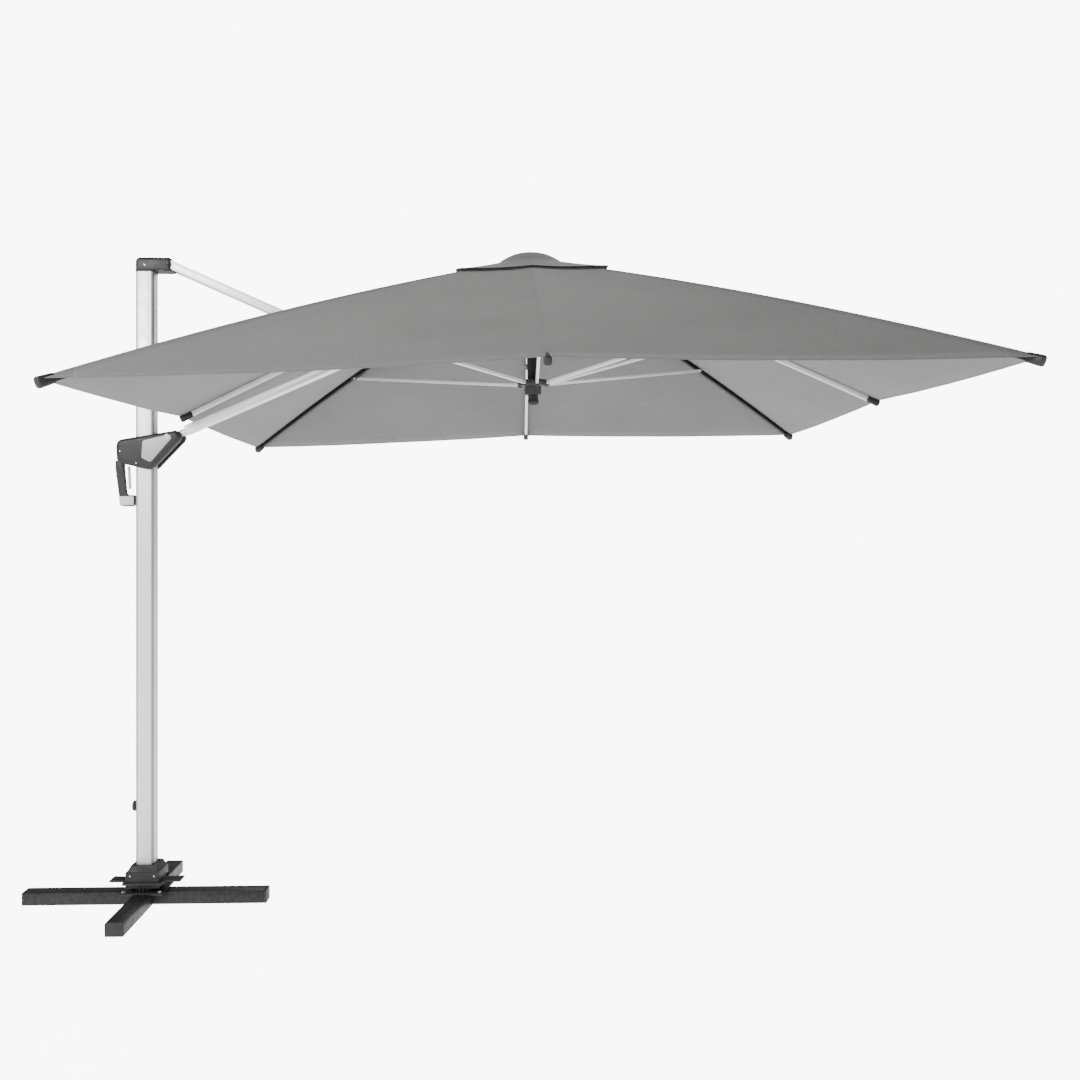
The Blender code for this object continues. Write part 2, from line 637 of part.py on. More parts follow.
def grip(hinge):
    """A hooked handle that hangs from the slider, with a release lever inside the hook."""
    lean = 0.018
    left = GRIP_LEFT
    right = GRIP_LEFT + GRIP_WIDTH
    round_off = 0.020
    corner = (left + lean + round_off, GRIP_BOTTOM + round_off)
    outline = [(left, GRIP_TOP), (left, GRIP_TOP - 0.030)]
    for step in range(6):
        angle = pi + pi / 2 * step / 5
        outline.append((corner[0] + round_off * cos(angle), corner[1] + round_off * sin(angle)))
    outline += [(GRIP_HOOK - 0.008, GRIP_BOTTOM), (GRIP_HOOK, GRIP_BOTTOM + 0.008)]
    outline += [(GRIP_HOOK, HOOK_LEVEL - 0.006), (GRIP_HOOK - 0.006, HOOK_LEVEL)]
    outline += [(right + lean, HOOK_LEVEL), (right + lean - 0.008, HOOK_LEVEL + 0.010)]
    outline += [(right, GRIP_TOP - 0.030), (right, GRIP_TOP)]
    extrusion("grip", [outline], GRIP_DEPTH, "Y", "plastic", hinge)
    pivot = joint_empty("lever_hinge", LEVER_PIVOT, 0.0, hinge)
    half = LEVER_THICKNESS / 2
    outline = stadium((0.0, 0.0), (0.004, -LEVER_LENGTH), half, 4)
    extrusion("grip_lever", [outline], LEVER_WIDTH, "Y", "pale_plastic", pivot)


# ---------------------------------------------------------------- canopy geometry
def rib_length_and_slope(corner):
    reach = CANOPY_HALF * (2 ** 0.5 if corner else 1.0) - RIB_PIVOT_RADIUS
    drop = CORNER_DROP if corner else SIDE_DROP
    return hypot(reach, drop), atan2(drop, reach)


def rib_point(corner, fraction, above=0.0):
    """A point on a rib's sprung centreline, from its pivot, as (outward, up)."""
    length, slope = rib_length_and_slope(corner)
    bow = CORNER_BOW if corner else SIDE_BOW
    normal = 4 * bow * fraction * (1 - fraction) + above
    outward = fraction * length * cos(slope) + normal * sin(slope)
    up = -fraction * length * sin(slope) + normal * cos(slope)
    return outward, up


def canopy_point(index, fraction, above):
    """A point over a rib in the canopy's frame."""
    _, azimuth, corner = RIBS[index % len(RIBS)]
    outward, up = rib_point(corner, fraction, above)
    radius = RIB_PIVOT_RADIUS + outward
    angle = radians(azimuth)
    return Vector((radius * cos(angle), radius * sin(angle), up))


def octagon(radius, first, last):
    """Corners of an eight-sided wire whose sides are tangent to a circle at each rib's azimuth."""
    corner_radius = radius / cos(pi / 8)
    angles = [radians(22.5 + 45 * step) for step in range(first, last)]
    return [(corner_radius * cos(a), corner_radius * sin(a), 0.0) for a in angles]


# ---------------------------------------------------------------- canopy parts
def crown(frame):
    wall = 0.099
    shoulder = wall + 0.003
    bore = POST_RADIUS + GAP
    edge = WHEEL_HALF_HEIGHT
    profile = [(bore, CROWN_TOP), (wall, CROWN_TOP), (shoulder, edge), (WHEEL_RADIUS, edge - 0.002)]
    profile += [(WHEEL_RADIUS, -edge), (CUP_RADIUS, -edge), (CUP_RADIUS, CUP_CEILING), (bore, CUP_CEILING)]
    hub = turned("crown_hub", profile, "Z", "plastic", frame, (0, 0, 0), 32)
    inner = TONGUE_WIDTH / 2 + 0.001
    outer = inner + CHEEK_THICKNESS
    left = -CROWN_FROM_BOOM.x - 0.027
    right = -CROWN_FROM_BOOM.x + 0.018
    foot = -CROWN_FROM_BOOM.z - 0.018
    for side in (-1, 1):
        low = (left, min(side * inner, side * outer), foot)
        high = (right, max(side * inner, side * outer), CUP_CEILING + 0.006)
        add_box(hub, low, high, frame)
    half = RIB_WIDTH / 2 + GAP
    for _, azimuth, _ in RIBS:
        slot = box("slot", (wall, -half, -CUT), (CUT, half, CUT), "steel", frame)
        slot.rotation_euler = (0, 0, radians(azimuth))
        combine(hub, slot, "DIFFERENCE")
    wire = octagon(RIB_PIVOT_RADIUS, 0, 8)
    groove = bar("crown_groove", wire, CROWN_WIRE + WIRE_PLAY, "steel", frame, (0, 0, 0), True)
    combine(hub, groove, "DIFFERENCE")
    cut_round(hub, PIN_RADIUS + GAP, CUT, "Y", frame, -CROWN_FROM_BOOM)
    bar("crown_wire", wire, CROWN_WIRE, "bright", frame, (0, 0, 0), True)
    half = outer + 0.003
    pin = [(0.0, half), (PIN_RADIUS, half), (PIN_RADIUS, -half), (0.0, -half)]
    turned("crown_pin", pin, "Y", "bright", frame, -CROWN_FROM_BOOM, 16)
    post = [(0.0, POST_TOP), (POST_RADIUS, POST_TOP), (POST_RADIUS, POST_BOTTOM), (0.0, POST_BOTTOM)]
    turned("centre_post", post, "Z", "alloy", frame)


def runner(frame):
    rest = joint_empty("runner_slide", (0, 0, -RUNNER_DROP), 0.0, frame)
    bore = POST_RADIUS + GAP
    edge = RUNNER_HALF_HEIGHT
    profile = [(bore, edge), (RUNNER_RADIUS, edge), (RUNNER_RADIUS, -edge)]
    profile += [(SLEEVE_RADIUS, -edge - 0.002), (SLEEVE_RADIUS, SLEEVE_BOTTOM), (bore, SLEEVE_BOTTOM)]
    hub = turned("runner", profile, "Z", "plastic", rest, (0, 0, 0), 32)
    half = STRUT_WIDTH / 2 + WIRE_PLAY
    reach = STRUT_PIVOT_RADIUS - STRUT_HEIGHT / 2 - 0.0025
    for index, (_, azimuth, _) in enumerate(RIBS):
        if azimuth == 180:
            continue
        shift = strut_side(index)
        slot = box("slot", (reach, shift - half, -CUT), (CUT, shift + half, CUT), "steel", rest)
        slot.rotation_euler = (0, 0, radians(azimuth))
        combine(hub, slot, "DIFFERENCE")
    cut_box(hub, (-CUT, -BOOM_NOTCH, -CUT), (-0.047, BOOM_NOTCH, CUT), rest)
    corners = octagon(STRUT_PIVOT_RADIUS, -3, 3)
    ends = []
    for azimuth in (-137, 137):
        angle = radians(azimuth)
        ends.append((STRUT_PIVOT_RADIUS * cos(angle), STRUT_PIVOT_RADIUS * sin(angle), 0.0))
    wire = [ends[0], *corners, ends[1]]
    combine(hub, bar("runner_groove", wire, RUNNER_WIRE + GAP, "steel", rest), "DIFFERENCE")
    first = tuple(Vector(wire[0]).lerp(wire[1], 0.03))
    last = tuple(Vector(wire[-1]).lerp(wire[-2], 0.03))
    bar("runner_wire", [first, *corners, last], RUNNER_WIRE, "bright", rest)
    return rest


def strut_side(index):
    """Which side of its rib a strut runs on, clear of the boom tongue."""
    azimuth = RIBS[index][1]
    return -STRUT_SIDE_STEP if 0 < azimuth < 180 else STRUT_SIDE_STEP


def rib(frame, index):
    name, azimuth, corner = RIBS[index]
    half = RIB_HEIGHT / 2
    slope = rib_length_and_slope(corner)[1]
    steps = 8
    top = [rib_point(corner, step / steps, half) for step in range(1, steps + 1)]
    bottom = [rib_point(corner, step / steps, -half) for step in range(steps, 0, -1)]
    eye = []
    for step in range(7):
        angle = 3 * pi / 2 - slope - pi * step / 6
        eye.append((half * cos(angle), half * sin(angle)))
    outline = bottom + eye + top
    loops = [outline, circle(CROWN_WIRE + WIRE_PLAY, steps=8)]
    angle = radians(azimuth)
    place = (RIB_PIVOT_RADIUS * cos(angle), RIB_PIVOT_RADIUS * sin(angle), 0)
    piece = extrusion("rib_" + name, loops, RIB_WIDTH, "Y", "alloy", frame, place)
    piece.rotation_euler = (0, 0, angle)
    return piece


def strut(rest, index):
    name, azimuth, corner = RIBS[index]
    fraction = CORNER_STRUT_AT if corner else SIDE_STRUT_AT
    outward, up = rib_point(corner, fraction, -STRUT_BELOW_RIB)
    end = (RIB_PIVOT_RADIUS + outward - STRUT_PIVOT_RADIUS, up + RUNNER_DROP)
    loops = [stadium((0, 0), end, STRUT_HEIGHT / 2)]
    loops += [circle(RUNNER_WIRE + GAP, steps=8), circle(0.003, end, 8)]
    angle = radians(azimuth)
    place = Matrix.Rotation(angle, 3, "Z") @ Vector((STRUT_PIVOT_RADIUS, strut_side(index), 0))
    piece = extrusion("strut_" + name, loops, STRUT_WIDTH, "Y", "alloy", rest, place)
    piece.rotation_euler = (0, 0, angle)


def fabric_panel(frame, index):
    """Half a gore on each side of a rib, from the vent hole to the hem."""
    name = RIBS[index][0]
    rows = 6
    work = bmesh.new()
    grid = []
    for row in range(rows + 1):
        fraction = FABRIC_INNER + (1 - FABRIC_INNER) * row / rows
        ridge = canopy_point(index, fraction, FABRIC_ABOVE_RIB)
        before = (ridge + canopy_point(index - 1, fraction, FABRIC_ABOVE_RIB)) / 2
        after = (ridge + canopy_point(index + 1, fraction, FABRIC_ABOVE_RIB)) / 2
        before += (ridge - before).normalized() * SEAM_GAP
        after += (ridge - after).normalized() * SEAM_GAP
        grid.append([work.verts.new(place) for place in (before, ridge, after)])
    for inner, outer in zip(grid, grid[1:]):
        for column in (0, 1):
            work.faces.new((inner[column], outer[column], outer[column + 1], inner[column + 1]))
    bmesh.ops.recalc_face_normals(work, faces=work.faces)
    upward = sum((face.normal.z for face in work.faces))
    if upward < 0:
        bmesh.ops.reverse_faces(work, faces=work.faces)
    mesh = bpy.data.meshes.new("panel_" + name)
    work.to_mesh(mesh)
    work.free()
    panel = mesh_object("panel_" + name, mesh, "cloth", frame)
    solidify = panel.modifiers.new("thickness", "SOLIDIFY")
    solidify.thickness = FABRIC
    solidify.offset = 1.0
    if RIBS[index][1] == 180:
        cut_slits(panel, frame)


def cut_slits(panel, frame):
    """The two bars of the arm pass through the panel on the mast side."""
    inner = BAR_OFFSET - BAR_THICKNESS / 2 - SLIT_PLAY
    outer = BAR_OFFSET + BAR_THICKNESS / 2 + SLIT_PLAY
    for side in (-1, 1):
        low = (-SLIT_TO, min(side * inner, side * outer), -1.0)
        high = (-SLIT_FROM, max(side * inner, side * outer), 0.5)
        cut_box(panel, low, high, frame)


def vent(frame):
    """The small upper roof: a low round dome over the crown, running out to a square hem."""
    work = bmesh.new()
    apex = work.verts.new((0, 0, VENT_TOP))
    angles = [radians(azimuth) for _, azimuth, _ in RIBS]
    rows = [[work.verts.new((r * cos(a), r * sin(a), z)) for a in angles] for r, z in VENT_DOME]
    hem = []
    for _, azimuth, corner in RIBS:
        edge = VENT_HALF * (2 ** 0.5 if corner else 1.0)
        angle = radians(azimuth)
        level = VENT_CORNER_Z if corner else VENT_SIDE_Z
        hem.append(work.verts.new((edge * cos(angle), edge * sin(angle), level)))
    rows.append(hem)
    for index in range(8):
        following = (index + 1) % 8
        work.faces.new((apex, rows[0][index], rows[0][following]))
        for inner, outer in zip(rows, rows[1:]):
            work.faces.new((inner[index], outer[index], outer[following], inner[following]))
    bmesh.ops.recalc_face_normals(work, faces=work.faces)
    if sum(face.normal.z for face in work.faces) < 0:
        bmesh.ops.reverse_faces(work, faces=work.faces)
    mesh = bpy.data.meshes.new("vent_canopy")
    work.to_mesh(mesh)
    work.free()
    piece = mesh_object("vent_canopy", mesh, "cloth", frame)
    solidify = piece.modifiers.new("thickness", "SOLIDIFY")
    solidify.thickness = FABRIC
    solidify.offset = 1.0


def canopy(swivel):
    rise = 2 * LINK * sin(BOOM_SLOPE)
    tip = ARM_PIVOT + Vector((BOOM_LENGTH * cos(BOOM_SLOPE), 0.0, BOOM_LENGTH * sin(BOOM_SLOPE) - rise))
    hinge = joint_empty("crown_hinge", tip, -CANOPY_TILT, swivel)
    frame = joint_empty("canopy_frame", CROWN_FROM_BOOM, 0.0, hinge)
    crown(frame)
    rest = runner(frame)
    for index, (_, azimuth, _) in enumerate(RIBS):
        rib(frame, index)
        fabric_panel(frame, index)
        if azimuth != 180:
            strut(rest, index)
    vent(frame)


clear_scene()
PARTS = new_collection("cantilever_parasol")
CUTTERS = new_collection("cutters")
base()
SWIVEL = mast()
arm(SWIVEL)
boom(SWIVEL)
slider(SWIVEL)
canopy(SWIVEL)
bpy.context.view_layer.update()
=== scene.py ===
"""Looks of the cantilever parasol: cloth, finishes, small fittings, studio and camera."""
import json
from math import asin, atan2, cos, hypot, pi, radians, sin, tau

import bmesh
import bpy
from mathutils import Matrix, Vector, noise


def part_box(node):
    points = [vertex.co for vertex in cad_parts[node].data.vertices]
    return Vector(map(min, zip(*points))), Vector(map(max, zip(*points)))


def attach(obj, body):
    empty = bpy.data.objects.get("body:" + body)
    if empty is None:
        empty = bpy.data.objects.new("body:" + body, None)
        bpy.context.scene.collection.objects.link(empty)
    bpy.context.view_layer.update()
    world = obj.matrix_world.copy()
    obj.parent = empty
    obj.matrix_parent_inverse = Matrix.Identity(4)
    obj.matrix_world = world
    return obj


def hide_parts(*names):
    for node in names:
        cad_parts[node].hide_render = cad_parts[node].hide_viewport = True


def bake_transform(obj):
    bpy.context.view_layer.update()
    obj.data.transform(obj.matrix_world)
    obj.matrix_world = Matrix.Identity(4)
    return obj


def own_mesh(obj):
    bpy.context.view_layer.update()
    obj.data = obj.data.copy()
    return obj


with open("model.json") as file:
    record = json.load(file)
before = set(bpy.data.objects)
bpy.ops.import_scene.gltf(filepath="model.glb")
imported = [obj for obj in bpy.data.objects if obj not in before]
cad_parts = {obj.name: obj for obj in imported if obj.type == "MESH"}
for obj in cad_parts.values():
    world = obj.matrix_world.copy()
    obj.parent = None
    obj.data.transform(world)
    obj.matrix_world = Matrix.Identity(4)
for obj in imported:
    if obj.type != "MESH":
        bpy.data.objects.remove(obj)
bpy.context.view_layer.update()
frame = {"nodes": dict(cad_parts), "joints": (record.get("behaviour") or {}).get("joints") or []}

NODES = frame["nodes"]
JOINTS = {joint["name"]: joint for joint in frame["joints"]}

# ---------------------------------------------------------------- canopy dimensions, metres
HALF = 1.500
CORNER_DROP = 0.640
SIDE_DROP = 0.608
CORNER_BOW = 0.026
SIDE_BOW = 0.012
PIVOT_RADIUS = 0.120
RIB_HALF_HEIGHT = 0.010
CLOTH = 0.0012
CLOTH_LEVEL = 0.0142              # top of the cloth above a rib's centreline
CLOTH_FROM = 0.060                # the vent hole ends at this fraction of each rib
HEM_FROM = 0.986
SAG = 0.016                       # how far a gore hangs between its ribs
SAG_PEAK = 0.62                   # the fraction of a rib at which a gore hangs lowest
SCALLOP = 0.008                   # how far the hem pulls in between ribs, as a fraction
WRINKLE = 0.0016
SEAM_HALF = 0.0095
FOLD_LIFT = 0.0011                # a second layer of cloth, at a hem or a seam
CLOTH_RUN = 1.75                  # the stitch pattern's length from crown to hem
SLIT_START = 0.123                # the arm's slits, as fractions of the left rib
SLIT_END = 0.562
SLIT_INNER = 0.0265               # its edges, from the rib's middle plane
SLIT_OUTER = 0.0395
SLIT_MIDDLE = (SLIT_INNER + SLIT_OUTER) / 2
VENT_HALF = 0.310
VENT_TOP = 0.070
VENT_DOME = 0.153
VENT_DOME_EDGE = 0.014
VENT_SIDE = -0.048
VENT_CORNER = -0.056
VENT_RUN = 0.40                   # the stitch pattern's length from apex to hem
VENT_LEFT_SPLIT = 37.5            # half the angle of the upper roof that is cut round the mast-side rib
STRUT_AT = {True: 0.5500, False: 0.5013}
STRUT_BELOW = 0.008
STRUT_STEP = 0.016
CLEARANCE = 0.0006                # room round a CAD part inside a fitting
WELD = 0.00004                    # corners closer than this are joined before an edge is rounded
HOOD_OVER_TUBE = 0.0097           # how far the mast's tube stands up inside its hood

RIBS = (
    ("right", 0, False),
    ("far_right", 45, True),
    ("far", 90, False),
    ("far_left", 135, True),
    ("left", 180, False),
    ("near_left", 225, True),
    ("near", 270, False),
    ("near_right", 315, True),
)
MAST_SIDE = 4                     # the rib over the arm, in that list


def pivot(joint):
    return Vector(JOINTS[joint]["pos_m"])


CENTRE = sum((pivot("fold_rib_" + rib[0]) for rib in RIBS), Vector()) / len(RIBS)
UP = Vector(JOINTS["runner_slide"]["axis"]).normalized()
EAST = (pivot("fold_rib_right") - pivot("fold_rib_left")).normalized()
NORTH = UP.cross(EAST)
HEEL = pivot("slider_travel")
HEAD = pivot("arm_fold")
MAST_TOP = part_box("mast_tube")[1].z - HOOD_OVER_TUBE


def canopy(x, y, z):
    return CENTRE + EAST * x + NORTH * y + UP * z


def heading(azimuth):
    return EAST * cos(radians(azimuth)) + NORTH * sin(radians(azimuth))


def across(azimuth):
    return NORTH * cos(radians(azimuth)) - EAST * sin(radians(azimuth))


def smooth(value, low, high):
    share = min(1.0, max(0.0, (value - low) / (high - low)))
    return share * share * (3 - 2 * share)


# ---------------------------------------------------------------- node materials
class Shader:
    """A Principled material with short calls for the nodes that feed it."""

    def __init__(self, name):
        self.material = bpy.data.materials.new(name)
        self.material.use_nodes = True
        self.tree = self.material.node_tree
        self.body = self.tree.nodes["Principled BSDF"]
        self.output = self.tree.nodes["Material Output"]
        self.coordinates = self.tree.nodes.new("ShaderNodeTexCoord")

    def link(self, value, socket):
        if hasattr(value, "is_linked"):
            self.tree.links.new(value, socket)
        else:
            socket.default_value = value

    def noise(self, scale, detail=2.0, stretch=None):
        texture = self.tree.nodes.new("ShaderNodeTexNoise")
        texture.inputs["Scale"].default_value = scale
        texture.inputs["Detail"].default_value = detail
        source = self.coordinates.outputs["Object"]
        if stretch:
            mapping = self.tree.nodes.new("ShaderNodeMapping")
            mapping.inputs["Scale"].default_value = stretch
            self.link(source, mapping.inputs["Vector"])
            source = mapping.outputs["Vector"]
        self.link(source, texture.inputs["Vector"])
        return texture.outputs["Fac"]

    def wave(self, scale, direction):
        texture = self.tree.nodes.new("ShaderNodeTexWave")
        texture.bands_direction = direction
        texture.inputs["Scale"].default_value = scale
        texture.inputs["Distortion"].default_value = 0.6
        texture.inputs["Detail Scale"].default_value = 2.0
        self.link(self.coordinates.outputs["Object"], texture.inputs["Vector"])
        return texture.outputs["Fac"]

    def math(self, operation, first, second=0.0):
        node = self.tree.nodes.new("ShaderNodeMath")
        node.operation = operation
        self.link(first, node.inputs[0])
        self.link(second, node.inputs[1])
        return node.outputs[0]

    def spread(self, value, low, high):
        """Map 0..1 onto low..high."""
        node = self.tree.nodes.new("ShaderNodeMapRange")
        self.link(value, node.inputs["Value"])
        node.inputs["From Min"].default_value = 0.3
        node.inputs["From Max"].default_value = 0.7
        node.inputs["To Min"].default_value = low
        node.inputs["To Max"].default_value = high
        return node.outputs["Result"]

    def colour(self, value):
        node = self.tree.nodes.new("ShaderNodeCombineColor")
        for channel in ("Red", "Green", "Blue"):
            self.link(value, node.inputs[channel])
        return node.outputs["Color"]

    def bump(self, height, strength, distance, after=None):
        node = self.tree.nodes.new("ShaderNodeBump")
        node.inputs["Strength"].default_value = strength
        node.inputs["Distance"].default_value = distance
        self.link(height, node.inputs["Height"])
        if after:
            self.link(after, node.inputs["Normal"])
        return node.outputs["Normal"]

    def edge_wear(self):
        geometry = self.tree.nodes.new("ShaderNodeNewGeometry")
        sharp = self.math("MULTIPLY", self.math("SUBTRACT", geometry.outputs["Pointiness"], 0.53), 9.0)
        ragged = self.math("MULTIPLY", sharp, self.spread(self.noise(60.0, 4.0), 0.0, 1.4))
        return self.math("MINIMUM", self.math("MAXIMUM", ragged, 0.0), 1.0)


def hard_shader(name, grey, roughness, metallic, grain, depth, mottle=0.06, wear=0.0, stretch=None):
    """Powder coat, plastic or metal: mottled colour, uneven sheen, a fine surface grain and worn edges."""
    shader = Shader(name)
    cloudy = shader.noise(7.0, 4.0)
    fine = shader.noise(grain, 3.0, stretch)
    tone = shader.spread(cloudy, grey * (1 - mottle), grey * (1 + mottle))
    tone = shader.math("ADD", tone, shader.spread(fine, -grey * mottle / 2, grey * mottle / 2))
    if wear:
        tone = shader.math("ADD", tone, shader.math("MULTIPLY", shader.edge_wear(), wear))
    shader.link(shader.colour(tone), shader.body.inputs["Base Color"])
    uneven = shader.spread(shader.noise(23.0, 5.0), roughness - 0.06, roughness + 0.07)
    shader.link(uneven, shader.body.inputs["Roughness"])
    shader.body.inputs["Metallic"].default_value = metallic
    shader.link(shader.bump(fine, 0.35, depth), shader.body.inputs["Normal"])
    return shader


def hard_finish(name, *values):
    return hard_shader(name, *values).material


def dull_finish(name, *values):
    """A hard finish with little gloss, for the dark coated and moulded parts."""
    shader = hard_shader(name, *values)
    shader.body.inputs["Specular IOR Level"].default_value = 0.28
    return shader.material


def alloy_painted_corner_shade(name, grey, half):
    """Alloy tube with painted shade: darker bands along its corners, where shadow falls at its rounded
    edges.
    """
    shader = hard_shader(name, grey, 0.40, 0.35, 1100.0, 0.00015, 0.04, 0.10)
    split = shader.tree.nodes.new("ShaderNodeSeparateXYZ")
    shader.link(shader.coordinates.outputs["Object"], split.inputs["Vector"])
    bands = 0.0
    for axis in ("X", "Y"):
        reach = shader.math("ABSOLUTE", split.outputs[axis])
        inside = shader.math("GREATER_THAN", reach, half - 0.0095)
        outside = shader.math("LESS_THAN", reach, half - 0.0030)
        bands = shader.math("MAXIMUM", bands, shader.math("MULTIPLY", inside, outside))
    # painted shade: the corner bands are darkened to 0.38 of the alloy's colour
    shade = shader.math("SUBTRACT", 1.0, shader.math("MULTIPLY", bands, 0.62))
    base_colour = shader.body.inputs["Base Color"]
    source = base_colour.links[0].from_socket
    blend = shader.tree.nodes.new("ShaderNodeMix")
    blend.data_type = "RGBA"
    blend.blend_type = "MULTIPLY"
    blend.inputs["Factor"].default_value = 1.0
    colours = [socket for socket in blend.inputs if socket.type == "RGBA"]
    shader.link(source, colours[0])
    shader.link(shader.colour(shade), colours[1])
    result = [socket for socket in blend.outputs if socket.type == "RGBA"][0]
    shader.link(result, base_colour)
    return shader.material


def dashes(shader, along, offset, centre, width=0.0007, pitch=0.0065):
    """A row of stitches: narrow in one direction, broken up in the other."""
    near = shader.math("LESS_THAN", shader.math("ABSOLUTE", shader.math("SUBTRACT", offset, centre)), width)
    phase = shader.math("FRACT", shader.math("DIVIDE", shader.math("ADD", along, 7.0), pitch))
    return shader.math("MULTIPLY", near, shader.math("LESS_THAN", phase, 0.68))


def cloth_finish(name, grey, seam):
    """Plain-weave polyester with slubs, mottling, a little light through it, and stitched hem and seam."""
    shader = Shader(name)
    weave = shader.math("MULTIPLY", shader.wave(420.0, "X"), shader.wave(420.0, "Y"))
    slub = shader.noise(9.0, 5.0, (1.0, 14.0, 1.0))
    cloudy = shader.noise(2.2, 4.0)
    tone = shader.spread(cloudy, grey * 0.90, grey * 1.10)
    tone = shader.math("ADD", tone, shader.spread(slub, -grey * 0.06, grey * 0.06))
    tone = shader.math("ADD", tone, shader.math("MULTIPLY", weave, grey * 0.10))
    split = shader.tree.nodes.new("ShaderNodeSeparateXYZ")
    shader.link(shader.coordinates.outputs["UV"], split.inputs["Vector"])
    side = split.outputs["X"]
    inward = split.outputs["Y"]
    stitches = dashes(shader, side, inward, 0.0040)
    stitches = shader.math("MAXIMUM", stitches, dashes(shader, side, inward, 0.0205))
    off_seam = shader.math("ABSOLUTE", side)
    if seam:
        for place in (0.0030, 0.0078):
            stitches = shader.math("MAXIMUM", stitches, dashes(shader, inward, off_seam, place))
    patch = shader.math("LESS_THAN", shader.math("ADD", off_seam, inward), 0.115)
    patch_edge = shader.math("SUBTRACT", shader.math("ADD", off_seam, inward), 0.108)
    patch_edge = shader.math("ABSOLUTE", patch_edge)
    patch_line = shader.math("LESS_THAN", patch_edge, 0.0010)
    stitches = shader.math("MAXIMUM", stitches, shader.math("MULTIPLY", patch, patch_line))
    tone = shader.math("MULTIPLY", tone, shader.math("SUBTRACT", 1.0, shader.math("MULTIPLY", patch, 0.10)))
    tone = shader.math("ADD", tone, shader.math("MULTIPLY", stitches, grey * 0.9))
    colour = shader.colour(tone)
    shader.link(colour, shader.body.inputs["Base Color"])
    shader.body.inputs["Roughness"].default_value = 0.86
    shader.body.inputs["Sheen Weight"].default_value = 0.35
    shader.body.inputs["Sheen Roughness"].default_value = 0.5
    threads = shader.bump(weave, 0.35, 0.0004)
    sewn = shader.bump(stitches, 0.5, 0.0006, threads)
    normal = shader.bump(shader.noise(5.0, 3.0), 0.25, 0.006, sewn)
    shader.link(normal, shader.body.inputs["Normal"])
    glow = shader.tree.nodes.new("ShaderNodeBsdfTranslucent")
    shader.link(shader.colour(shader.math("MULTIPLY", tone, 1.5)), glow.inputs["Color"])
    mix = shader.tree.nodes.new("ShaderNodeMixShader")
    mix.inputs["Fac"].default_value = 0.30
    shader.link(shader.body.outputs["BSDF"], mix.inputs[1])
    shader.link(glow.outputs["BSDF"], mix.inputs[2])
    shader.link(mix.outputs["Shader"], shader.output.inputs["Surface"])
    return shader.material


FINISH = {
    "cloth": cloth_finish("cloth", 0.150, False),
    "cloth_seamed": cloth_finish("cloth_seamed", 0.150, True),
    "binding": hard_finish("binding", 0.055, 0.85, 0.0, 900.0, 0.0004),
    "alloy": hard_finish("alloy", 0.72, 0.40, 0.35, 1100.0, 0.00015, 0.04, 0.10),
    # the mast's alloy carries painted shade in bands along its corners
    "mast_alloy_painted_shade": alloy_painted_corner_shade("mast_alloy_painted_shade", 0.66, 0.0375),
    "dark_coat": dull_finish("dark_coat", 0.010, 0.46, 0.25, 800.0, 0.0003, 0.18, 0.05),
    "black_coat": dull_finish("black_coat", 0.008, 0.42, 0.1, 700.0, 0.0004, 0.20, 0.05),
    "steel": hard_finish("steel", 0.52, 0.28, 1.0, 500.0, 0.0001, 0.08, 0.10, (1.0, 22.0, 1.0)),
    "dark_plastic": dull_finish("dark_plastic", 0.017, 0.50, 0.0, 1300.0, 0.0002, 0.12, 0.03),
    "side_plastic": hard_finish("side_plastic", 0.30, 0.42, 0.1, 1200.0, 0.00015, 0.05, 0.05),
    "pale_plastic": hard_finish("pale_plastic", 0.52, 0.45, 0.0, 1200.0, 0.0002, 0.05, 0.04),
    "rubber": hard_finish("rubber", 0.018, 0.75, 0.0, 600.0, 0.0004, 0.15),
}


# ---------------------------------------------------------------- mesh helpers
def new_object(name, mesh, finish):
    thing = bpy.data.objects.new(name, mesh)
    bpy.context.scene.collection.objects.link(thing)
    thing.data.materials.append(FINISH[finish])
    return thing


def mesh_of(name, work):
    """Turn a bmesh into a mesh, and free it."""
    mesh = bpy.data.meshes.new(name)
    work.to_mesh(mesh)
    work.free()
    return mesh


def skin(name, rings):
    """A closed mesh over rings that have the same number of points."""
    work = bmesh.new()
    skins = [[work.verts.new(place) for place in ring] for ring in rings]
    count = len(skins[0])
    for lower, upper in zip(skins, skins[1:]):
        for step in range(count):
            following = (step + 1) % count
            work.faces.new((lower[step], lower[following], upper[following], upper[step]))
    work.faces.new(skins[0][::-1])
    work.faces.new(skins[-1])
    bmesh.ops.recalc_face_normals(work, faces=work.faces)
    return mesh_of(name, work)


def shade_smooth(thing):
    for polygon in thing.data.polygons:
        polygon.use_smooth = True
    return thing


def round_edges(thing, width, segments=3, angle=32.0):
    """Weld, soften the sharp edges, and shade the rest smooth."""
    shade_smooth(thing)
    welding = thing.modifiers.new("weld", "WELD")
    welding.merge_threshold = WELD
    bevel = thing.modifiers.new("soft_edges", "BEVEL")
    bevel.width = width
    bevel.segments = segments
    bevel.limit_method = "ANGLE"
    bevel.angle_limit = radians(angle)
    bevel.harden_normals = True
    return thing


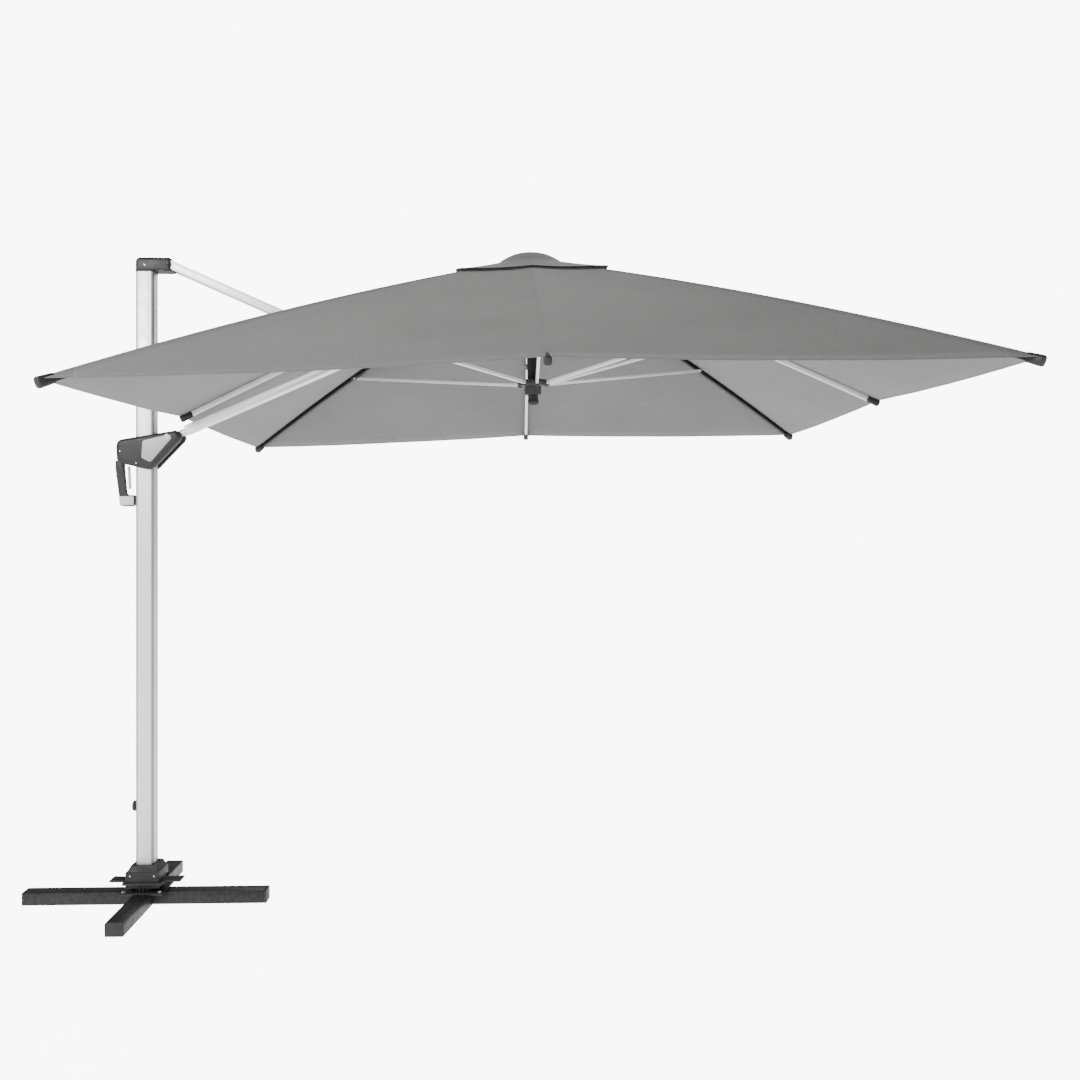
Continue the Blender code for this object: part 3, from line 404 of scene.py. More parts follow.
def sheet(name, grid, uvs, finish):
    """A cloth grid with its own UVs, facing up."""
    work = bmesh.new()
    layer = work.loops.layers.uv.new("cloth")
    rows = [[work.verts.new(place) for place in row] for row in grid]
    flat = {}
    for row, row_uvs in zip(rows, uvs):
        for vertex, uv in zip(row, row_uvs):
            flat[vertex] = uv
    for inner, outer in zip(rows, rows[1:]):
        for column in range(len(inner) - 1):
            work.faces.new((inner[column], outer[column], outer[column + 1], inner[column + 1]))
    work.normal_update()
    if sum(face.normal.dot(UP) * face.calc_area() for face in work.faces) < 0:
        bmesh.ops.reverse_faces(work, faces=work.faces)
    for face in work.faces:
        face.smooth = True
        for loop in face.loops:
            loop[layer].uv = flat[loop.vert]
    thing = new_object(name, mesh_of(name, work), finish)
    solid = thing.modifiers.new("cloth", "SOLIDIFY")
    solid.thickness = CLOTH
    solid.offset = -1.0
    bake(thing)
    thing.data.set_sharp_from_angle(angle=radians(50))
    return thing


def loft(name, rings, finish, square=3.2, steps=20):
    """Skin rounded-square rings given as (centre, side vector, upward vector); both ends are closed."""
    outline = []
    for step in range(steps):
        angle = tau * step / steps
        u = abs(cos(angle)) ** (2 / square) * (1 if cos(angle) >= 0 else -1)
        v = abs(sin(angle)) ** (2 / square) * (1 if sin(angle) >= 0 else -1)
        outline.append((u, v))
    skins = [[centre + side * u + upward * v for u, v in outline] for centre, side, upward in rings]
    thing = new_object(name, skin(name, skins), finish)
    return shade_smooth(thing)


def turned(name, profile, origin, axis, finish, steps=28):
    """Sweep (radius, height) points round an axis through origin, starting and ending on the axis."""
    axis = axis.normalized()
    helper = Vector((0, 0, 1)) if abs(axis.z) < 0.9 else Vector((1, 0, 0))
    side = axis.cross(helper).normalized()
    rings = []
    for radius, height in profile:
        reach = max(radius, 0.00005)
        rings.append((origin + axis * height, side * reach, axis.cross(side) * reach))
    return loft(name, rings, finish, 2.0, steps)


def cord(name, points, radius, finish):
    """A fine cord round a loop of points, made into a mesh."""
    curve = bpy.data.curves.new(name, "CURVE")
    curve.dimensions = "3D"
    curve.bevel_depth = radius
    curve.bevel_resolution = 2
    spline = curve.splines.new("POLY")
    spline.points.add(len(points) - 1)
    for point, place in zip(spline.points, points):
        point.co = (*place, 1.0)
    spline.use_cyclic_u = True
    guide = bpy.data.objects.new(name + "_guide", curve)
    bpy.context.scene.collection.objects.link(guide)
    bpy.context.view_layer.update()
    mesh = bpy.data.meshes.new_from_object(guide.evaluated_get(bpy.context.evaluated_depsgraph_get()))
    bpy.data.objects.remove(guide, do_unlink=True)
    mesh.materials.clear()
    thing = new_object(name, mesh, finish)
    return shade_smooth(thing)


def block(name, low, high):
    work = bmesh.new()
    bmesh.ops.create_cube(work, size=1.0)
    low = Vector(low)
    high = Vector(high)
    bmesh.ops.scale(work, vec=high - low, verts=work.verts)
    bmesh.ops.translate(work, vec=(low + high) / 2, verts=work.verts)
    return mesh_of(name, work)


def cut(thing, cutter):
    """Cut with a Boolean, keep the result as the mesh, and drop the cutter."""
    boolean = thing.modifiers.new("cut", "BOOLEAN")
    boolean.object = cutter
    boolean.operation = "DIFFERENCE"
    boolean.solver = "EXACT"
    bake(thing)
    bpy.data.objects.remove(cutter, do_unlink=True)


def bake(thing):
    bpy.context.view_layer.update()
    evaluated = thing.evaluated_get(bpy.context.evaluated_depsgraph_get())
    mesh = bpy.data.meshes.new_from_object(evaluated)
    thing.modifiers.clear()
    thing.data = mesh


def cut_block(thing, low, high):
    cutter = bpy.data.objects.new("cutter", block("cutter", low, high))
    bpy.context.scene.collection.objects.link(cutter)
    cut(thing, cutter)


# ---------------------------------------------------------------- canopy surface
def rib_slope(corner):
    reach = HALF * (2 ** 0.5 if corner else 1.0) - PIVOT_RADIUS
    drop = CORNER_DROP if corner else SIDE_DROP
    return hypot(reach, drop), atan2(drop, reach)


def rib_point(corner, fraction, above=0.0):
    length, slope = rib_slope(corner)
    bow = CORNER_BOW if corner else SIDE_BOW
    normal = 4 * bow * fraction * (1 - fraction) + above
    outward = fraction * length * cos(slope) + normal * sin(slope)
    up = -fraction * length * sin(slope) + normal * cos(slope)
    return PIVOT_RADIUS + outward, up


def ridge(index, fraction, above=CLOTH_LEVEL):
    _, azimuth, corner = RIBS[index % len(RIBS)]
    radius, up = rib_point(corner, fraction, above)
    return Vector((radius * cos(radians(azimuth)), radius * sin(radians(azimuth)), up))


def gore_point(index, neighbour, fraction, share, raised):
    """A cloth point between a rib and its neighbour; share is 0 on the rib and 1 on the neighbour."""
    place = ridge(index, fraction).lerp(ridge(neighbour, fraction), share)
    slack = 4 * share * (1 - share)
    hang = 1 - ((fraction - SAG_PEAK) / SAG_PEAK) ** 2
    pull = 1 - SCALLOP * slack * fraction ** 6
    place.x *= pull
    place.y *= pull
    place.z -= SAG * slack * hang
    ripple = noise.noise(Vector((place.x * 2.1, place.y * 2.1, 0.4)))
    ripple += 0.5 * noise.noise(Vector((place.x * 5.3, place.y * 5.3, 3.1)))
    place.z += WRINKLE * ripple * slack + raised
    return canopy(*place)


def row_fractions(extra=()):
    count = 30
    rows = [CLOTH_FROM + (HEM_FROM - 0.002 - CLOTH_FROM) * step / count for step in range(count + 1)]
    rows += [HEM_FROM, 0.993, 1.0]
    return sorted(rows + list(extra))


def slit_rows():
    """Closer rows of cloth round each end of the arm's slits."""
    return [end + step * 0.004 for end in (SLIT_START, SLIT_END) for step in range(-2, 3)]


def hem_lift(fraction):
    return FOLD_LIFT if fraction >= HEM_FROM else 0.0


def slit_edge(fraction, inner):
    """Where the cloth stops beside the arm's slit, as a distance from the left rib's middle plane."""
    target = SLIT_INNER if inner else SLIT_OUTER
    opening = smooth(fraction, SLIT_START - 0.008, SLIT_START + 0.004)
    closing = 1 - smooth(fraction, SLIT_END - 0.004, SLIT_END + 0.008)
    return SLIT_MIDDLE + (target - SLIT_MIDDLE) * min(opening, closing)


def half_gore(index, side):
    """The cloth from a rib to the middle of the gore beside it."""
    name, _, corner = RIBS[index]
    neighbour = (index + side) % len(RIBS)
    slit = index == MAST_SIDE
    grid = []
    uvs = []
    columns = 12
    for fraction in row_fractions(slit_rows() if slit else ()):
        span = (ridge(neighbour, fraction) - ridge(index, fraction)).length
        start = slit_edge(fraction, False) / span if slit else 0.0
        shares = [start]
        if corner:
            shares += [SEAM_HALF / span, (SEAM_HALF + 0.0015) / span]
            start = shares[-1]
        shares += [start + (0.5 - start) * step / columns for step in range(1, columns + 1)]
        row = []
        row_uvs = []
        for share in shares:
            seam_lift = FOLD_LIFT if corner and share * span <= SEAM_HALF + 0.0001 else 0.0
            lift = max(seam_lift, hem_lift(fraction))
            row.append(gore_point(index, neighbour, fraction, share, lift))
            row_uvs.append((side * share * span, (1 - fraction) * CLOTH_RUN))
        grid.append(row)
        uvs.append(row_uvs)
    label = "cloth_" + name + ("_a" if side > 0 else "_b")
    thing = sheet(label, grid, uvs, "cloth_seamed" if corner else "cloth")
    hang_on_rib(thing, index, side)
    return thing


def hang_on_rib(thing, index, side):
    """The cloth rides on its rib."""
    name, azimuth, corner = RIBS[index]
    middle = (ridge((index + side) % len(RIBS), 1.0) + ridge(index, 1.0)) / 2 - ridge(index, 1.0)
    middle = canopy(*middle) - CENTRE
    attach(thing, "rib_" + name)
    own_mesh(thing)
    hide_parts("panel_" + name)


def slit_strip():
    """The narrow cloth between the arm's two slits, over the rib on the mast side."""
    grid = []
    uvs = []
    for fraction in row_fractions(slit_rows()):
        row = []
        row_uvs = []
        edge = slit_edge(fraction, True)
        for step in range(-4, 5):
            offset = edge * step / 4
            neighbour = MAST_SIDE + (1 if step >= 0 else -1)
            span = (ridge(neighbour, fraction) - ridge(MAST_SIDE, fraction)).length
            place = gore_point(MAST_SIDE, neighbour, fraction, abs(offset) / span, hem_lift(fraction))
            row.append(place)
            row_uvs.append((offset, (1 - fraction) * CLOTH_RUN))
        grid.append(row)
        uvs.append(row_uvs)
    thing = sheet("cloth_left_strip", grid, uvs, "cloth")
    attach(thing, "rib_left")
    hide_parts("panel_left")


def slit_bindings():
    """A rolled binding round each slit that the arm passes through."""
    for side, label in ((1, "a"), (-1, "b")):
        neighbour = MAST_SIDE + side
        loop = []
        steps = 24
        for inner in (True, False):
            order = range(steps + 1) if inner else range(steps, -1, -1)
            for step in order:
                fraction = SLIT_START - 0.006 + (SLIT_END - SLIT_START + 0.012) * step / steps
                span = (ridge(neighbour, fraction) - ridge(MAST_SIDE, fraction)).length
                share = slit_edge(fraction, inner) / span
                loop.append(gore_point(MAST_SIDE, neighbour, fraction, share, -CLOTH / 2))
        binding = cord("slit_binding_" + label, loop, 0.0017, "binding")
        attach(binding, "rib_left")


# ---------------------------------------------------------------- vent
def vent_point(azimuth, share):
    """A point on the upper roof: share 0 is the apex, 0.5 the dome's edge and 1 the square hem."""
    angle = radians(azimuth)
    if share <= 0.5:
        radius = VENT_DOME * share * 2
        level = VENT_DOME_EDGE + (VENT_TOP - VENT_DOME_EDGE) * cos(pi / 2 * (share * 2) ** 1.35)
        return canopy(radius * cos(angle), radius * sin(angle), level)
    run = (share - 0.5) * 2
    off_side = (azimuth + 45) % 90 - 45
    reach = VENT_HALF / cos(radians(off_side))
    corner_share = abs(sin(radians(off_side)) / cos(radians(off_side)))
    hem_level = VENT_SIDE + (VENT_CORNER - VENT_SIDE) * corner_share
    slack = abs(sin(radians(4 * off_side)))
    radius = VENT_DOME + (reach * (1 - 0.012 * slack * run ** 4) - VENT_DOME) * run
    level = VENT_DOME_EDGE + (hem_level - VENT_DOME_EDGE) * run
    level -= 0.0035 * sin(pi * run) + 0.004 * slack * run
    if run > 0.93:
        level += 0.0010
    return canopy(radius * cos(angle), radius * sin(angle), level)


def vent_sheet(name, rib_azimuth, bounds, seam):
    """Part of the upper roof between two edges, each a function of share that gives an azimuth."""
    shares = [0.01]
    shares += [0.5 * step / 9 for step in range(1, 10)]
    shares += [0.5 + 0.46 * step / 10 for step in range(1, 11)]
    shares += [0.967, 0.985, 1.0]
    grid = []
    uvs = []
    columns = 10
    for share in shares:
        low = bounds[0](share)
        high = bounds[1](share)
        azimuths = [low + (high - low) * step / columns for step in range(columns + 1)]
        grid.append([vent_point(azimuth, share) for azimuth in azimuths])
        sizes = [radians(azimuth - rib_azimuth) * share * 0.45 for azimuth in azimuths]
        uvs.append([(size, (1 - share) * VENT_RUN) for size in sizes])
    thing = sheet(name, grid, uvs, "cloth_seamed" if seam else "cloth")
    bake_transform(thing)
    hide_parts("vent_canopy")


def vent():
    for name, azimuth, corner in RIBS:
        if azimuth == 180:
            continue
        low = max(azimuth - 22.5, 180 + VENT_LEFT_SPLIT) if azimuth > 180 else azimuth - 22.5
        high = min(azimuth + 22.5, 180 - VENT_LEFT_SPLIT) if azimuth < 180 else azimuth + 22.5
        edges = (lambda share, a=low: a, lambda share, a=high: a)
        vent_sheet("vent_" + name, azimuth, edges, corner)
    opening = 0.68

    def beside(share, inner):
        target = SLIT_INNER if inner else SLIT_OUTER
        offset = SLIT_MIDDLE + (target - SLIT_MIDDLE) * smooth(share, opening, opening + 0.03)
        on_dome = VENT_DOME * min(1.0, share * 2)
        radius = on_dome + (VENT_HALF - VENT_DOME) * max(0.0, share * 2 - 1)
        angle = asin(min(0.99, offset / max(radius, offset)))
        return min(22.5, angle * 180 / pi)

    inner_edges = (lambda share: 180 - beside(share, True), lambda share: 180 + beside(share, True))
    vent_sheet("vent_left_strip", 180, inner_edges, False)
    far = (lambda share: 180 - VENT_LEFT_SPLIT, lambda share: 180 - beside(share, False))
    near = (lambda share: 180 + beside(share, False), lambda share: 180 + VENT_LEFT_SPLIT)
    vent_sheet("vent_left_a", 180, far, False)
    vent_sheet("vent_left_b", 180, near, False)


def vent_button():
    top = canopy(0, 0, VENT_TOP - 0.001)
    profile = [(0.0, -0.001), (0.017, -0.001), (0.019, 0.0008)]
    profile += [(0.0165, 0.0030), (0.009, 0.0044), (0.0, 0.0048)]
    button = turned("vent_button", profile, top, UP, "dark_plastic")
    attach(button, "crown")


# ---------------------------------------------------------------- rib fittings
def rib_matrix(index, fraction, above=0.0):
    """Centre, outward direction, sideways direction and upward normal at a place on a rib."""
    _, azimuth, corner = RIBS[index]
    here = Vector((*rib_point(corner, fraction, above), 0.0))
    ahead = Vector((*rib_point(corner, fraction + 0.01, above), 0.0))
    centre = CENTRE + heading(azimuth) * here.x + UP * here.y
    run = (heading(azimuth) * (ahead.x - here.x) + UP * (ahead.y - here.y)).normalized()
    sideways = across(azimuth)
    return centre, run, sideways, sideways.cross(run) * -1.0


def rib_tip(index):
    """The dark end piece that carries the cloth's pocket at a rib's tip."""
    name, _, corner = RIBS[index]
    centre, run, sideways, upward = rib_matrix(index, 1.0)
    if upward.dot(UP) < 0:
        upward.negate()
    size = 1.25 if corner else 1.0
    rings = []
    shape = ((-0.052, 0.62, 0.70), (-0.050, 0.80, 0.86), (-0.020, 0.92, 0.95), (-0.002, 1.0, 1.0))
    shape += ((0.001, 0.96, 0.96), (0.0035, 0.82, 0.82), (0.0048, 0.55, 0.55))
    for along, wide, high in shape:
        place = centre + run * along + upward * 0.001
        rings.append((place, sideways * 0.0135 * wide * size, upward * 0.0150 * high * size))
    tip = loft("rib_tip_" + name, rings, "dark_plastic")
    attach(tip, "rib_" + name)


def strut_rivet(index):
    """The rivet and stamped ear that join a strut to its rib."""
    name, azimuth, corner = RIBS[index]
    side = -1 if 0 < azimuth < 180 else 1
    centre, run, sideways, upward = rib_matrix(index, STRUT_AT[corner], -STRUT_BELOW)
    reach = STRUT_STEP + 0.0075
    head = 0.0055
    low, high = sorted((-side * 0.0085, side * reach))
    profile = [(0.0, low - 0.0026), (head * 0.6, low - 0.0022), (head, low - 0.0008), (head, low)]
    profile += [(0.0028, low), (0.0028, high), (head, high), (head, high + 0.0008)]
    profile += [(head * 0.6, high + 0.0022), (0.0, high + 0.0026)]
    rivet = turned("strut_rivet_" + name, profile, centre, sideways, "steel", 20)
    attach(rivet, "rib_" + name)
    if upward.dot(UP) < 0:
        upward.negate()
    top = centre + upward * (STRUT_BELOW + RIB_HALF_HEIGHT - 0.001)
    rings = []
    for along, wide in ((-0.026, 0.80), (-0.025, 1.0), (0.025, 1.0), (0.026, 0.80)):
        place = top + run * along - upward * 0.0095 + sideways * (-side * 0.0002)
        rings.append((place, sideways * 0.0089 * wide, upward * 0.0112 * wide))
    saddle = loft("rib_saddle_" + name, rings, "dark_plastic", 6.0)
    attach(saddle, "rib_" + name)


# ---------------------------------------------------------------- carried-over CAD nodes
def dress(names, finish, rounding, segments=3):
    for name in names:
        node = NODES[name]
        node.data.materials.clear()
        node.data.materials.append(FINISH[finish])
        round_edges(node, rounding, segments)


def dress_frame():
    ribs = ["rib_" + name for name, _, corner in RIBS if not corner]
    corner_ribs = ["rib_" + name for name, _, corner in RIBS if corner]
    struts = ["strut_" + name for name, azimuth, _ in RIBS if azimuth != 180]
    dress(["base_beam_long", "base_beam_front", "base_beam_back"], "black_coat", 0.0015)
    dress(["base_plate", "locking_ring"], "black_coat", 0.0008, 2)
    dress(["end_cap_left", "end_cap_right", "end_cap_front", "end_cap_back"], "dark_plastic", 0.0028)
    dress(["base_collar"], "dark_plastic", 0.0045, 4)
    dress(["foot_pedal"], "dark_plastic", 0.0016)
    dress(["mast_tube"], "mast_alloy_painted_shade", 0.0012)
    dress(["arm_bar_near", "arm_bar_far", "boom_tube"], "alloy", 0.0012)
    dress(ribs + struts, "alloy", 0.0018)
    dress(corner_ribs, "dark_coat", 0.0018)
    dress(["centre_post"], "dark_coat", 0.0012)
    dress(["spigot_tube", "elbow_pin", "heel_pin", "crown_pin"], "steel", 0.0006, 2)
    dress(["head_pin"], "dark_coat", 0.0006, 2)
    dress(["boom_heel", "boom_tongue"], "steel", 0.0015)
    dress(["crown_hub", "runner", "arm_spacer", "swivel_bush"], "dark_plastic", 0.0010, 2)
    dress(["slider_liner", "grip_lever"], "pale_plastic", 0.0012, 2)
    dress(["grip"], "dark_plastic", 0.0075, 4)
    for name in ("crown_wire", "runner_wire"):
        NODES[name].data.materials.clear()
        NODES[name].data.materials.append(FINISH["steel"])
        shade_smooth(NODES[name])


# ---------------------------------------------------------------- head, slider, knob, base details
def screw(name, place, axis, radius, body):
    """A pan head with a six-point recess."""
    profile = [(0.0, -0.0005), (radius, -0.0005), (radius, radius * 0.25), (radius * 0.86, radius * 0.50)]
    profile += [(radius * 0.45, radius * 0.60), (radius * 0.40, radius * 0.20), (0.0, radius * 0.18)]
    head = turned(name, profile, place, axis, "steel", 18)
    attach(head, body)


def mast_hood():
    """The rounded hood on the mast, open below and in front where the arm swings."""
    low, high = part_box("mast_head")
    hood = bpy.data.objects.new("mast_hood", block("mast_hood", (low.x, low.y, MAST_TOP), high))
    bpy.context.scene.collection.objects.link(hood)
    hood.data.materials.append(FINISH["dark_plastic"])
    bevel = hood.modifiers.new("round", "BEVEL")
    bevel.width = 0.018
    bevel.segments = 8
    bevel.limit_method = "NONE"
    bake(hood)
    cut_block(hood, (low.x - 1, low.y - 1, MAST_TOP - 0.1), (high.x + 1, high.y + 1, MAST_TOP + 0.0105))
    mast_low, mast_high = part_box("mast_tube")
    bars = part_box("arm_bar_far")
    inner = bars[0].y - CLEARANCE
    outer = bars[1].y + CLEARANCE
    pocket = HEAD.x - 0.024
    for side in (-1, 1):
        edges = sorted((side * inner, side * outer))
        cut_block(hood, (pocket, edges[0], MAST_TOP - 0.1), (1.0, edges[1], high.z - 0.0068))
    groove = high.z - 0.0125
    for side in (-1, 1):
        edges = sorted((side * high.y, side * (high.y - 0.0012)))
        bottom = (low.x - 0.1, edges[0], groove - 0.0007)
        top = (high.x + 0.1, edges[1] + 0.00001, groove + 0.0007)
        cut_block(hood, bottom, top)
    round_edges(hood, 0.0006, 2, 40)
    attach(hood, "mast")
    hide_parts("mast_head")
    rings = []
    for level, grow in ((mast_high.z - 0.004, 0.0016), (MAST_TOP + 0.0125, 0.0028)):
        half = (mast_high.x - mast_low.x) / 2 + grow
        rings.append((Vector((0, 0, level)), Vector((half, 0, 0)), Vector((0, half, 0))))
    neck = loft("mast_neck", rings, "dark_plastic", 9.0, 48)
    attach(neck, "mast")
    for side in (-1, 1):
        place = Vector((0.004, side * high.y, (MAST_TOP + high.z) / 2 - 0.002))
        screw("hood_screw_" + ("near" if side < 0 else "far"), place, Vector((0, side, 0)), 0.0042, "mast")


def hull_of_rounds(rounds, grow, steps=10):
    """The outline of a belt round circles (x, z, radius), grown by an offset, anticlockwise."""
    points = []
    for index, (u, v, radius) in enumerate(rounds):
        spans = []
        following = rounds[(index + 1) % len(rounds)]
        for start, end in ((rounds[index - 1], rounds[index]), (rounds[index], following)):
            run = Vector((end[0] - start[0], end[1] - start[1]))
            lean = asin((start[2] - end[2]) / run.length)
            spans.append(atan2(run.y, run.x) - pi / 2 + lean)
        turn = (spans[1] - spans[0]) % tau
        for step in range(steps + 1):
            angle = spans[0] + turn * step / steps
            points.append((u + (radius + grow) * cos(angle), v + (radius + grow) * sin(angle)))
    return points


# The slider's outline and its pale plate: rounds as (x, z, radius), from the boom's heel.
SHELL = [(0.028, -0.001, 0.027), (-0.186, -0.040, 0.030), (-0.190, -0.090, 0.024), (-0.080, -0.106, 0.033)]
PLATE = [(0.006, -0.004, 0.012), (-0.092, -0.026, 0.010), (-0.096, -0.084, 0.010), (-0.072, -0.092, 0.014)]


def skin_outline(name, sections, finish):
    """Stack sections, each an outline round the boom's heel and its y, into a closed body."""
    skins = [[HEEL + Vector((u, y, v)) for u, v in outline] for outline, y in sections]
    thing = new_object(name, skin(name, skins), finish)
    return thing


def slider_shell(side):
    """One half of the slider's housing, with a well rounded rim and room for mast, boom and grip."""
    label = "near" if side < 0 else "far"
    low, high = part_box("slider_shell_" + label)
    face = max(abs(low.y), abs(high.y))
    rim = ((0.0, 0.0003), (0.0, face - 0.020), (-0.0012, face - 0.0135), (-0.0042, face - 0.0075))
    rim += ((-0.0088, face - 0.0030), (-0.0145, face - 0.0006), (-0.0200, face))
    sections = [(hull_of_rounds(SHELL, grow), side * y) for grow, y in rim]
    shell = skin_outline("slider_housing_" + label, sections, "dark_plastic")
    liner_low, liner_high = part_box("slider_liner")
    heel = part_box("boom_heel")[1].y + CLEARANCE
    below, above = (HEEL.z - 1.0, HEEL.z + 1.0)
    corner = (liner_high.x + CLEARANCE, liner_high.y + CLEARANCE, above)
    cut_block(shell, (liner_low.x - CLEARANCE, liner_low.y - CLEARANCE, below), corner)
    cut_block(shell, (liner_high.x - 0.010, -heel, below), (1.0, heel, above))
    grip_low, grip_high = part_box("grip")
    neck = grip_low.x + 0.0316
    corner = (neck, grip_high.y + CLEARANCE, grip_high.z + CLEARANCE)
    cut_block(shell, (-1.0, grip_low.y - CLEARANCE, below), corner)
    for place in ((-0.196, -0.062), (-0.128, -0.112)):
        spot = HEEL + Vector((place[0], side * (face - 0.0004), place[1]))
        name = f"slider_screw_{label}_{round(-place[0] * 1000)}"
        screw(name, spot, Vector((0, side, 0)), 0.0040, "slider")
    round_edges(shell, 0.0007, 2, 40)
    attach(shell, "slider")
    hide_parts("slider_shell_" + label)
    plate_rim = ((0.0, face - 0.0030), (0.0, face + 0.0004))
    plate_rim += ((-0.0010, face + 0.0014), (-0.0030, face + 0.0018))
    sections = [(hull_of_rounds(PLATE, grow), side * y) for grow, y in plate_rim]
    plate = skin_outline("slider_plate_" + label, sections, "side_plastic")
    round_edges(plate, 0.0003, 2, 60)
    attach(plate, "slider")
    cap = [(0.0, -0.002), (0.0125, -0.002), (0.0125, 0.0022), (0.0105, 0.0038)]
    cap += [(0.0085, 0.0040), (0.0078, 0.0030), (0.0, 0.0030)]
    spot = HEEL + Vector((0, side * face, -0.002))
    disc = turned("heel_cap_" + label, cap, spot, Vector((0, side, 0)), "pale_plastic", 32)
    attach(disc, "slider")


def grip_details():
    """Finger ridges on the handle and a pale pad under its hook."""
    low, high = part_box("grip")
    for step in range(5):
        level = high.z - 0.062 - step * 0.020
        lean = 0.018 * step / 5
        place = Vector((low.x + 0.0035 + lean, 0, level))
        rings = []
        for y, grow in ((-0.0125, 0.35), (-0.0105, 1.0), (0.0105, 1.0), (0.0125, 0.35)):
            centre = place + Vector((0, y, 0))
            rings.append((centre, Vector((0.0042 * grow, 0, 0)), Vector((0, 0, 0.0036 * grow))))
        ridge_piece = loft(f"grip_ridge_{step}", rings, "rubber", 2.2, 16)
        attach(ridge_piece, "slider")
    rings = []
    for x, grow in ((-0.030, 0.90), (-0.028, 1.0), (0.028, 1.0), (0.0305, 0.93), (0.032, 0.80)):
        place = Vector((high.x - 0.0335 + x, 0, low.z + 0.0240))
        rings.append((place, Vector((0, 0.0182 * grow, 0)), Vector((0, 0, 0.0225 * grow))))
    pad = loft("grip_pad", rings, "pale_plastic", 6.0, 32)
    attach(pad, "slider")


def fluted_knob():
    """The clamping knob with a fluted rim."""
    low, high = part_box("lock_knob")
    origin = Vector(((low.x + high.x) / 2, (low.y + high.y) / 2, (low.z + high.z) / 2))
    radius = (high.z - low.z) / 2
    steps = 72
    flutes = 8
    skins = []
    levels = ((high.x - 0.0030, 0.44), (high.x - 0.0085, 0.46))
    levels += ((high.x - 0.0100, 0.94), (high.x - 0.0120, 1.0))
    levels += ((low.x + 0.0040, 1.0), (low.x + 0.0012, 0.93))
    levels += ((low.x, 0.78), (low.x + 0.0010, 0.60), (low.x + 0.0014, 0.1))
    for x, share in levels:
        ring = []
        for step in range(steps):
            angle = tau * step / steps
            flute = 0.94 + 0.06 * cos(flutes * angle) if share > 0.7 else 1.0
            reach = radius * share * flute
            ring.append((x, origin.y + reach * cos(angle), origin.z + reach * sin(angle)))
        skins.append(ring)
    knob = new_object("fluted_knob", skin("fluted_knob", skins), "dark_plastic")
    round_edges(knob, 0.0005, 2, 50)
    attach(knob, "knob")
    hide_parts("lock_knob")


def base_details():
    """Hexagon bolts on the base plate, collar screws and tread ridges."""
    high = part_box("base_plate")[1]
    inset = 0.016
    for count, (x, y) in enumerate(((-1, -1), (-1, 1), (1, -1), (1, 1))):
        place = Vector((x * (high.x - inset), y * (high.y - inset), high.z))
        profile = [(0.0, -0.0004), (0.0105, -0.0004), (0.0105, 0.0012), (0.0082, 0.0014), (0.0082, 0.0058)]
        profile += [(0.0070, 0.0068), (0.0, 0.0070)]
        bolt = turned(f"base_bolt_{count}", profile, place, Vector((0, 0, 1)), "steel", 6)
        bolt.data.polygons.foreach_set("use_smooth", [False] * len(bolt.data.polygons))
        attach(bolt, "base")
    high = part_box("base_collar")[1]
    for count, x in enumerate((-0.05, 0.05)):
        for side in (-1, 1):
            place = Vector((x, side * high.y, high.z - 0.040))
            name = f"collar_screw_{count}_{'near' if side < 0 else 'far'}"
            screw(name, place, Vector((0, side, 0)), 0.0042, "mast")
    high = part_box("foot_pedal")[1]
    for side in (-1, 1):
        for step in range(5):
            x = side * (high.x - 0.020 - step * 0.009)
            rings = []
            for y, grow in ((-0.024, 0.4), (-0.022, 1.0), (0.022, 1.0), (0.024, 0.4)):
                place = Vector((x, y, high.z - 0.0006))
                rings.append((place, Vector((0.0019 * grow, 0, 0)), Vector((0, 0, 0.0016 * grow))))
            name = f"tread_ridge_{'left' if side < 0 else 'right'}_{step}"
            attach(loft(name, rings, "rubber", 2.2, 12), "pedal")


def hub_details():
    """A moulded foot on the post."""
    post_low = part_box("centre_post")[0]
    foot = canopy(0, 0, (post_low - CENTRE).z + 0.004)
    profile = [(0.0, -0.012), (0.012, -0.0115), (0.021, -0.007), (0.0238, 0.0)]
    profile += [(0.0238, 0.012), (0.0222, 0.0135), (0.0, 0.0135)]
    cap = turned("post_foot", profile, foot, UP, "dark_plastic", 36)
    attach(cap, "crown")


# ---------------------------------------------------------------- studio
LIGHTS = (                        # name, place, target, size in metres, watts
    ("key", (-1.9, -3.7, 3.9), (0.5, -0.8, 2.1), 1.6, 330),
    ("front", (-1.0, -7.5, 2.6), (0.6, 0.0, 1.4), 3.0, 90),
    ("back", (2.6, 6.4, 4.6), (1.6, 0.4, 2.2), 4.0, 150),
)
SKY_ON_OBJECT = 0.24
SKY_SEEN = 9.0
FLOOR_GLOW = 2.0
FLOOR_GLOW_SEEN = 7.5             # added where the camera sees the floor, so that it fades into the sky
LENS = 37.7                       # millimetres
SENSOR = 36.0
EYE = (CENTRE.x - 0.1235, -4.868, 1.608)
EYE_TURN = -1.97                  # degrees, to the right
EYE_SHIFT = -0.0148               # share of the frame's width


def area_light(name, place, target, size, power):
    light = bpy.data.lights.new(name, "AREA")
    light.size = size
    light.energy = power
    lamp = bpy.data.objects.new(name, light)
    bpy.context.scene.collection.objects.link(lamp)
    lamp.location = place
    lamp.rotation_euler = (Vector(target) - Vector(place)).to_track_quat("-Z", "Y").to_euler()


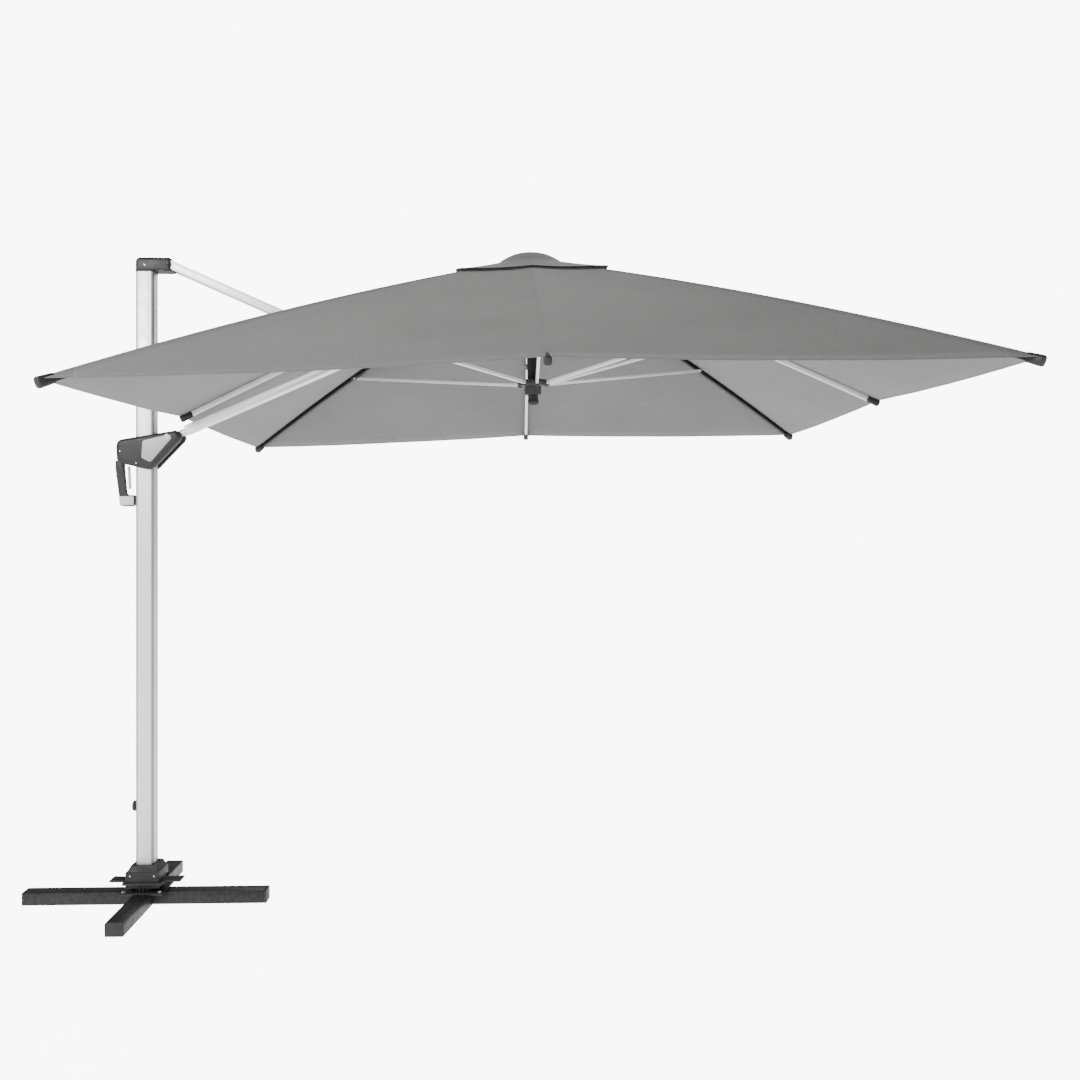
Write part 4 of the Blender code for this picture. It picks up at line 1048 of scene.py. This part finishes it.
def studio():
    for values in LIGHTS:
        area_light(*values)
    world = bpy.data.worlds.new("studio")
    bpy.context.scene.world = world
    world.use_nodes = True
    tree = world.node_tree
    background = tree.nodes["Background"]
    path = tree.nodes.new("ShaderNodeLightPath")
    strength = tree.nodes.new("ShaderNodeMapRange")
    strength.inputs["To Min"].default_value = SKY_ON_OBJECT
    strength.inputs["To Max"].default_value = SKY_SEEN
    tree.links.new(path.outputs["Is Camera Ray"], strength.inputs["Value"])
    tree.links.new(strength.outputs["Result"], background.inputs["Strength"])
    background.inputs["Color"].default_value = (1.0, 1.0, 1.0, 1.0)


def floor():
    """A wide pale floor with a faint mottle."""
    work = bmesh.new()
    bmesh.ops.create_circle(work, cap_ends=True, radius=40.0, segments=96)
    ground = bpy.data.objects.new("floor", mesh_of("floor", work))
    bpy.context.scene.collection.objects.link(ground)
    ground.location.z = -0.001
    shader = Shader("floor")
    tone = shader.colour(shader.spread(shader.noise(3.0, 3.0), 0.84, 0.88))
    shader.link(tone, shader.body.inputs["Base Color"])
    shader.link(tone, shader.body.inputs["Emission Color"])
    path = shader.tree.nodes.new("ShaderNodeLightPath")
    seen = shader.math("MULTIPLY", path.outputs["Is Camera Ray"], FLOOR_GLOW_SEEN)
    glow = shader.math("ADD", FLOOR_GLOW, seen)
    shader.link(glow, shader.body.inputs["Emission Strength"])
    shader.body.inputs["Roughness"].default_value = 0.9
    ground.data.materials.append(shader.material)


def camera():
    """A level view from the near side, a little right of the middle and turned slightly right."""
    data = bpy.data.cameras.new("camera")
    data.lens = LENS
    data.sensor_width = SENSOR
    data.shift_y = EYE_SHIFT
    eye = bpy.data.objects.new("camera", data)
    bpy.context.scene.collection.objects.link(eye)
    eye.location = EYE
    eye.rotation_euler = (radians(90), 0.0, radians(EYE_TURN))
    bpy.context.scene.camera = eye


# ---------------------------------------------------------------- build
dress_frame()
for number in range(len(RIBS)):
    half_gore(number, 1)
    half_gore(number, -1)
    rib_tip(number)
    if number != MAST_SIDE:
        strut_rivet(number)
slit_strip()
slit_bindings()
vent()
vent_button()
mast_hood()
slider_shell(-1)
slider_shell(1)
grip_details()
fluted_knob()
base_details()
hub_details()
floor()
studio()
camera()
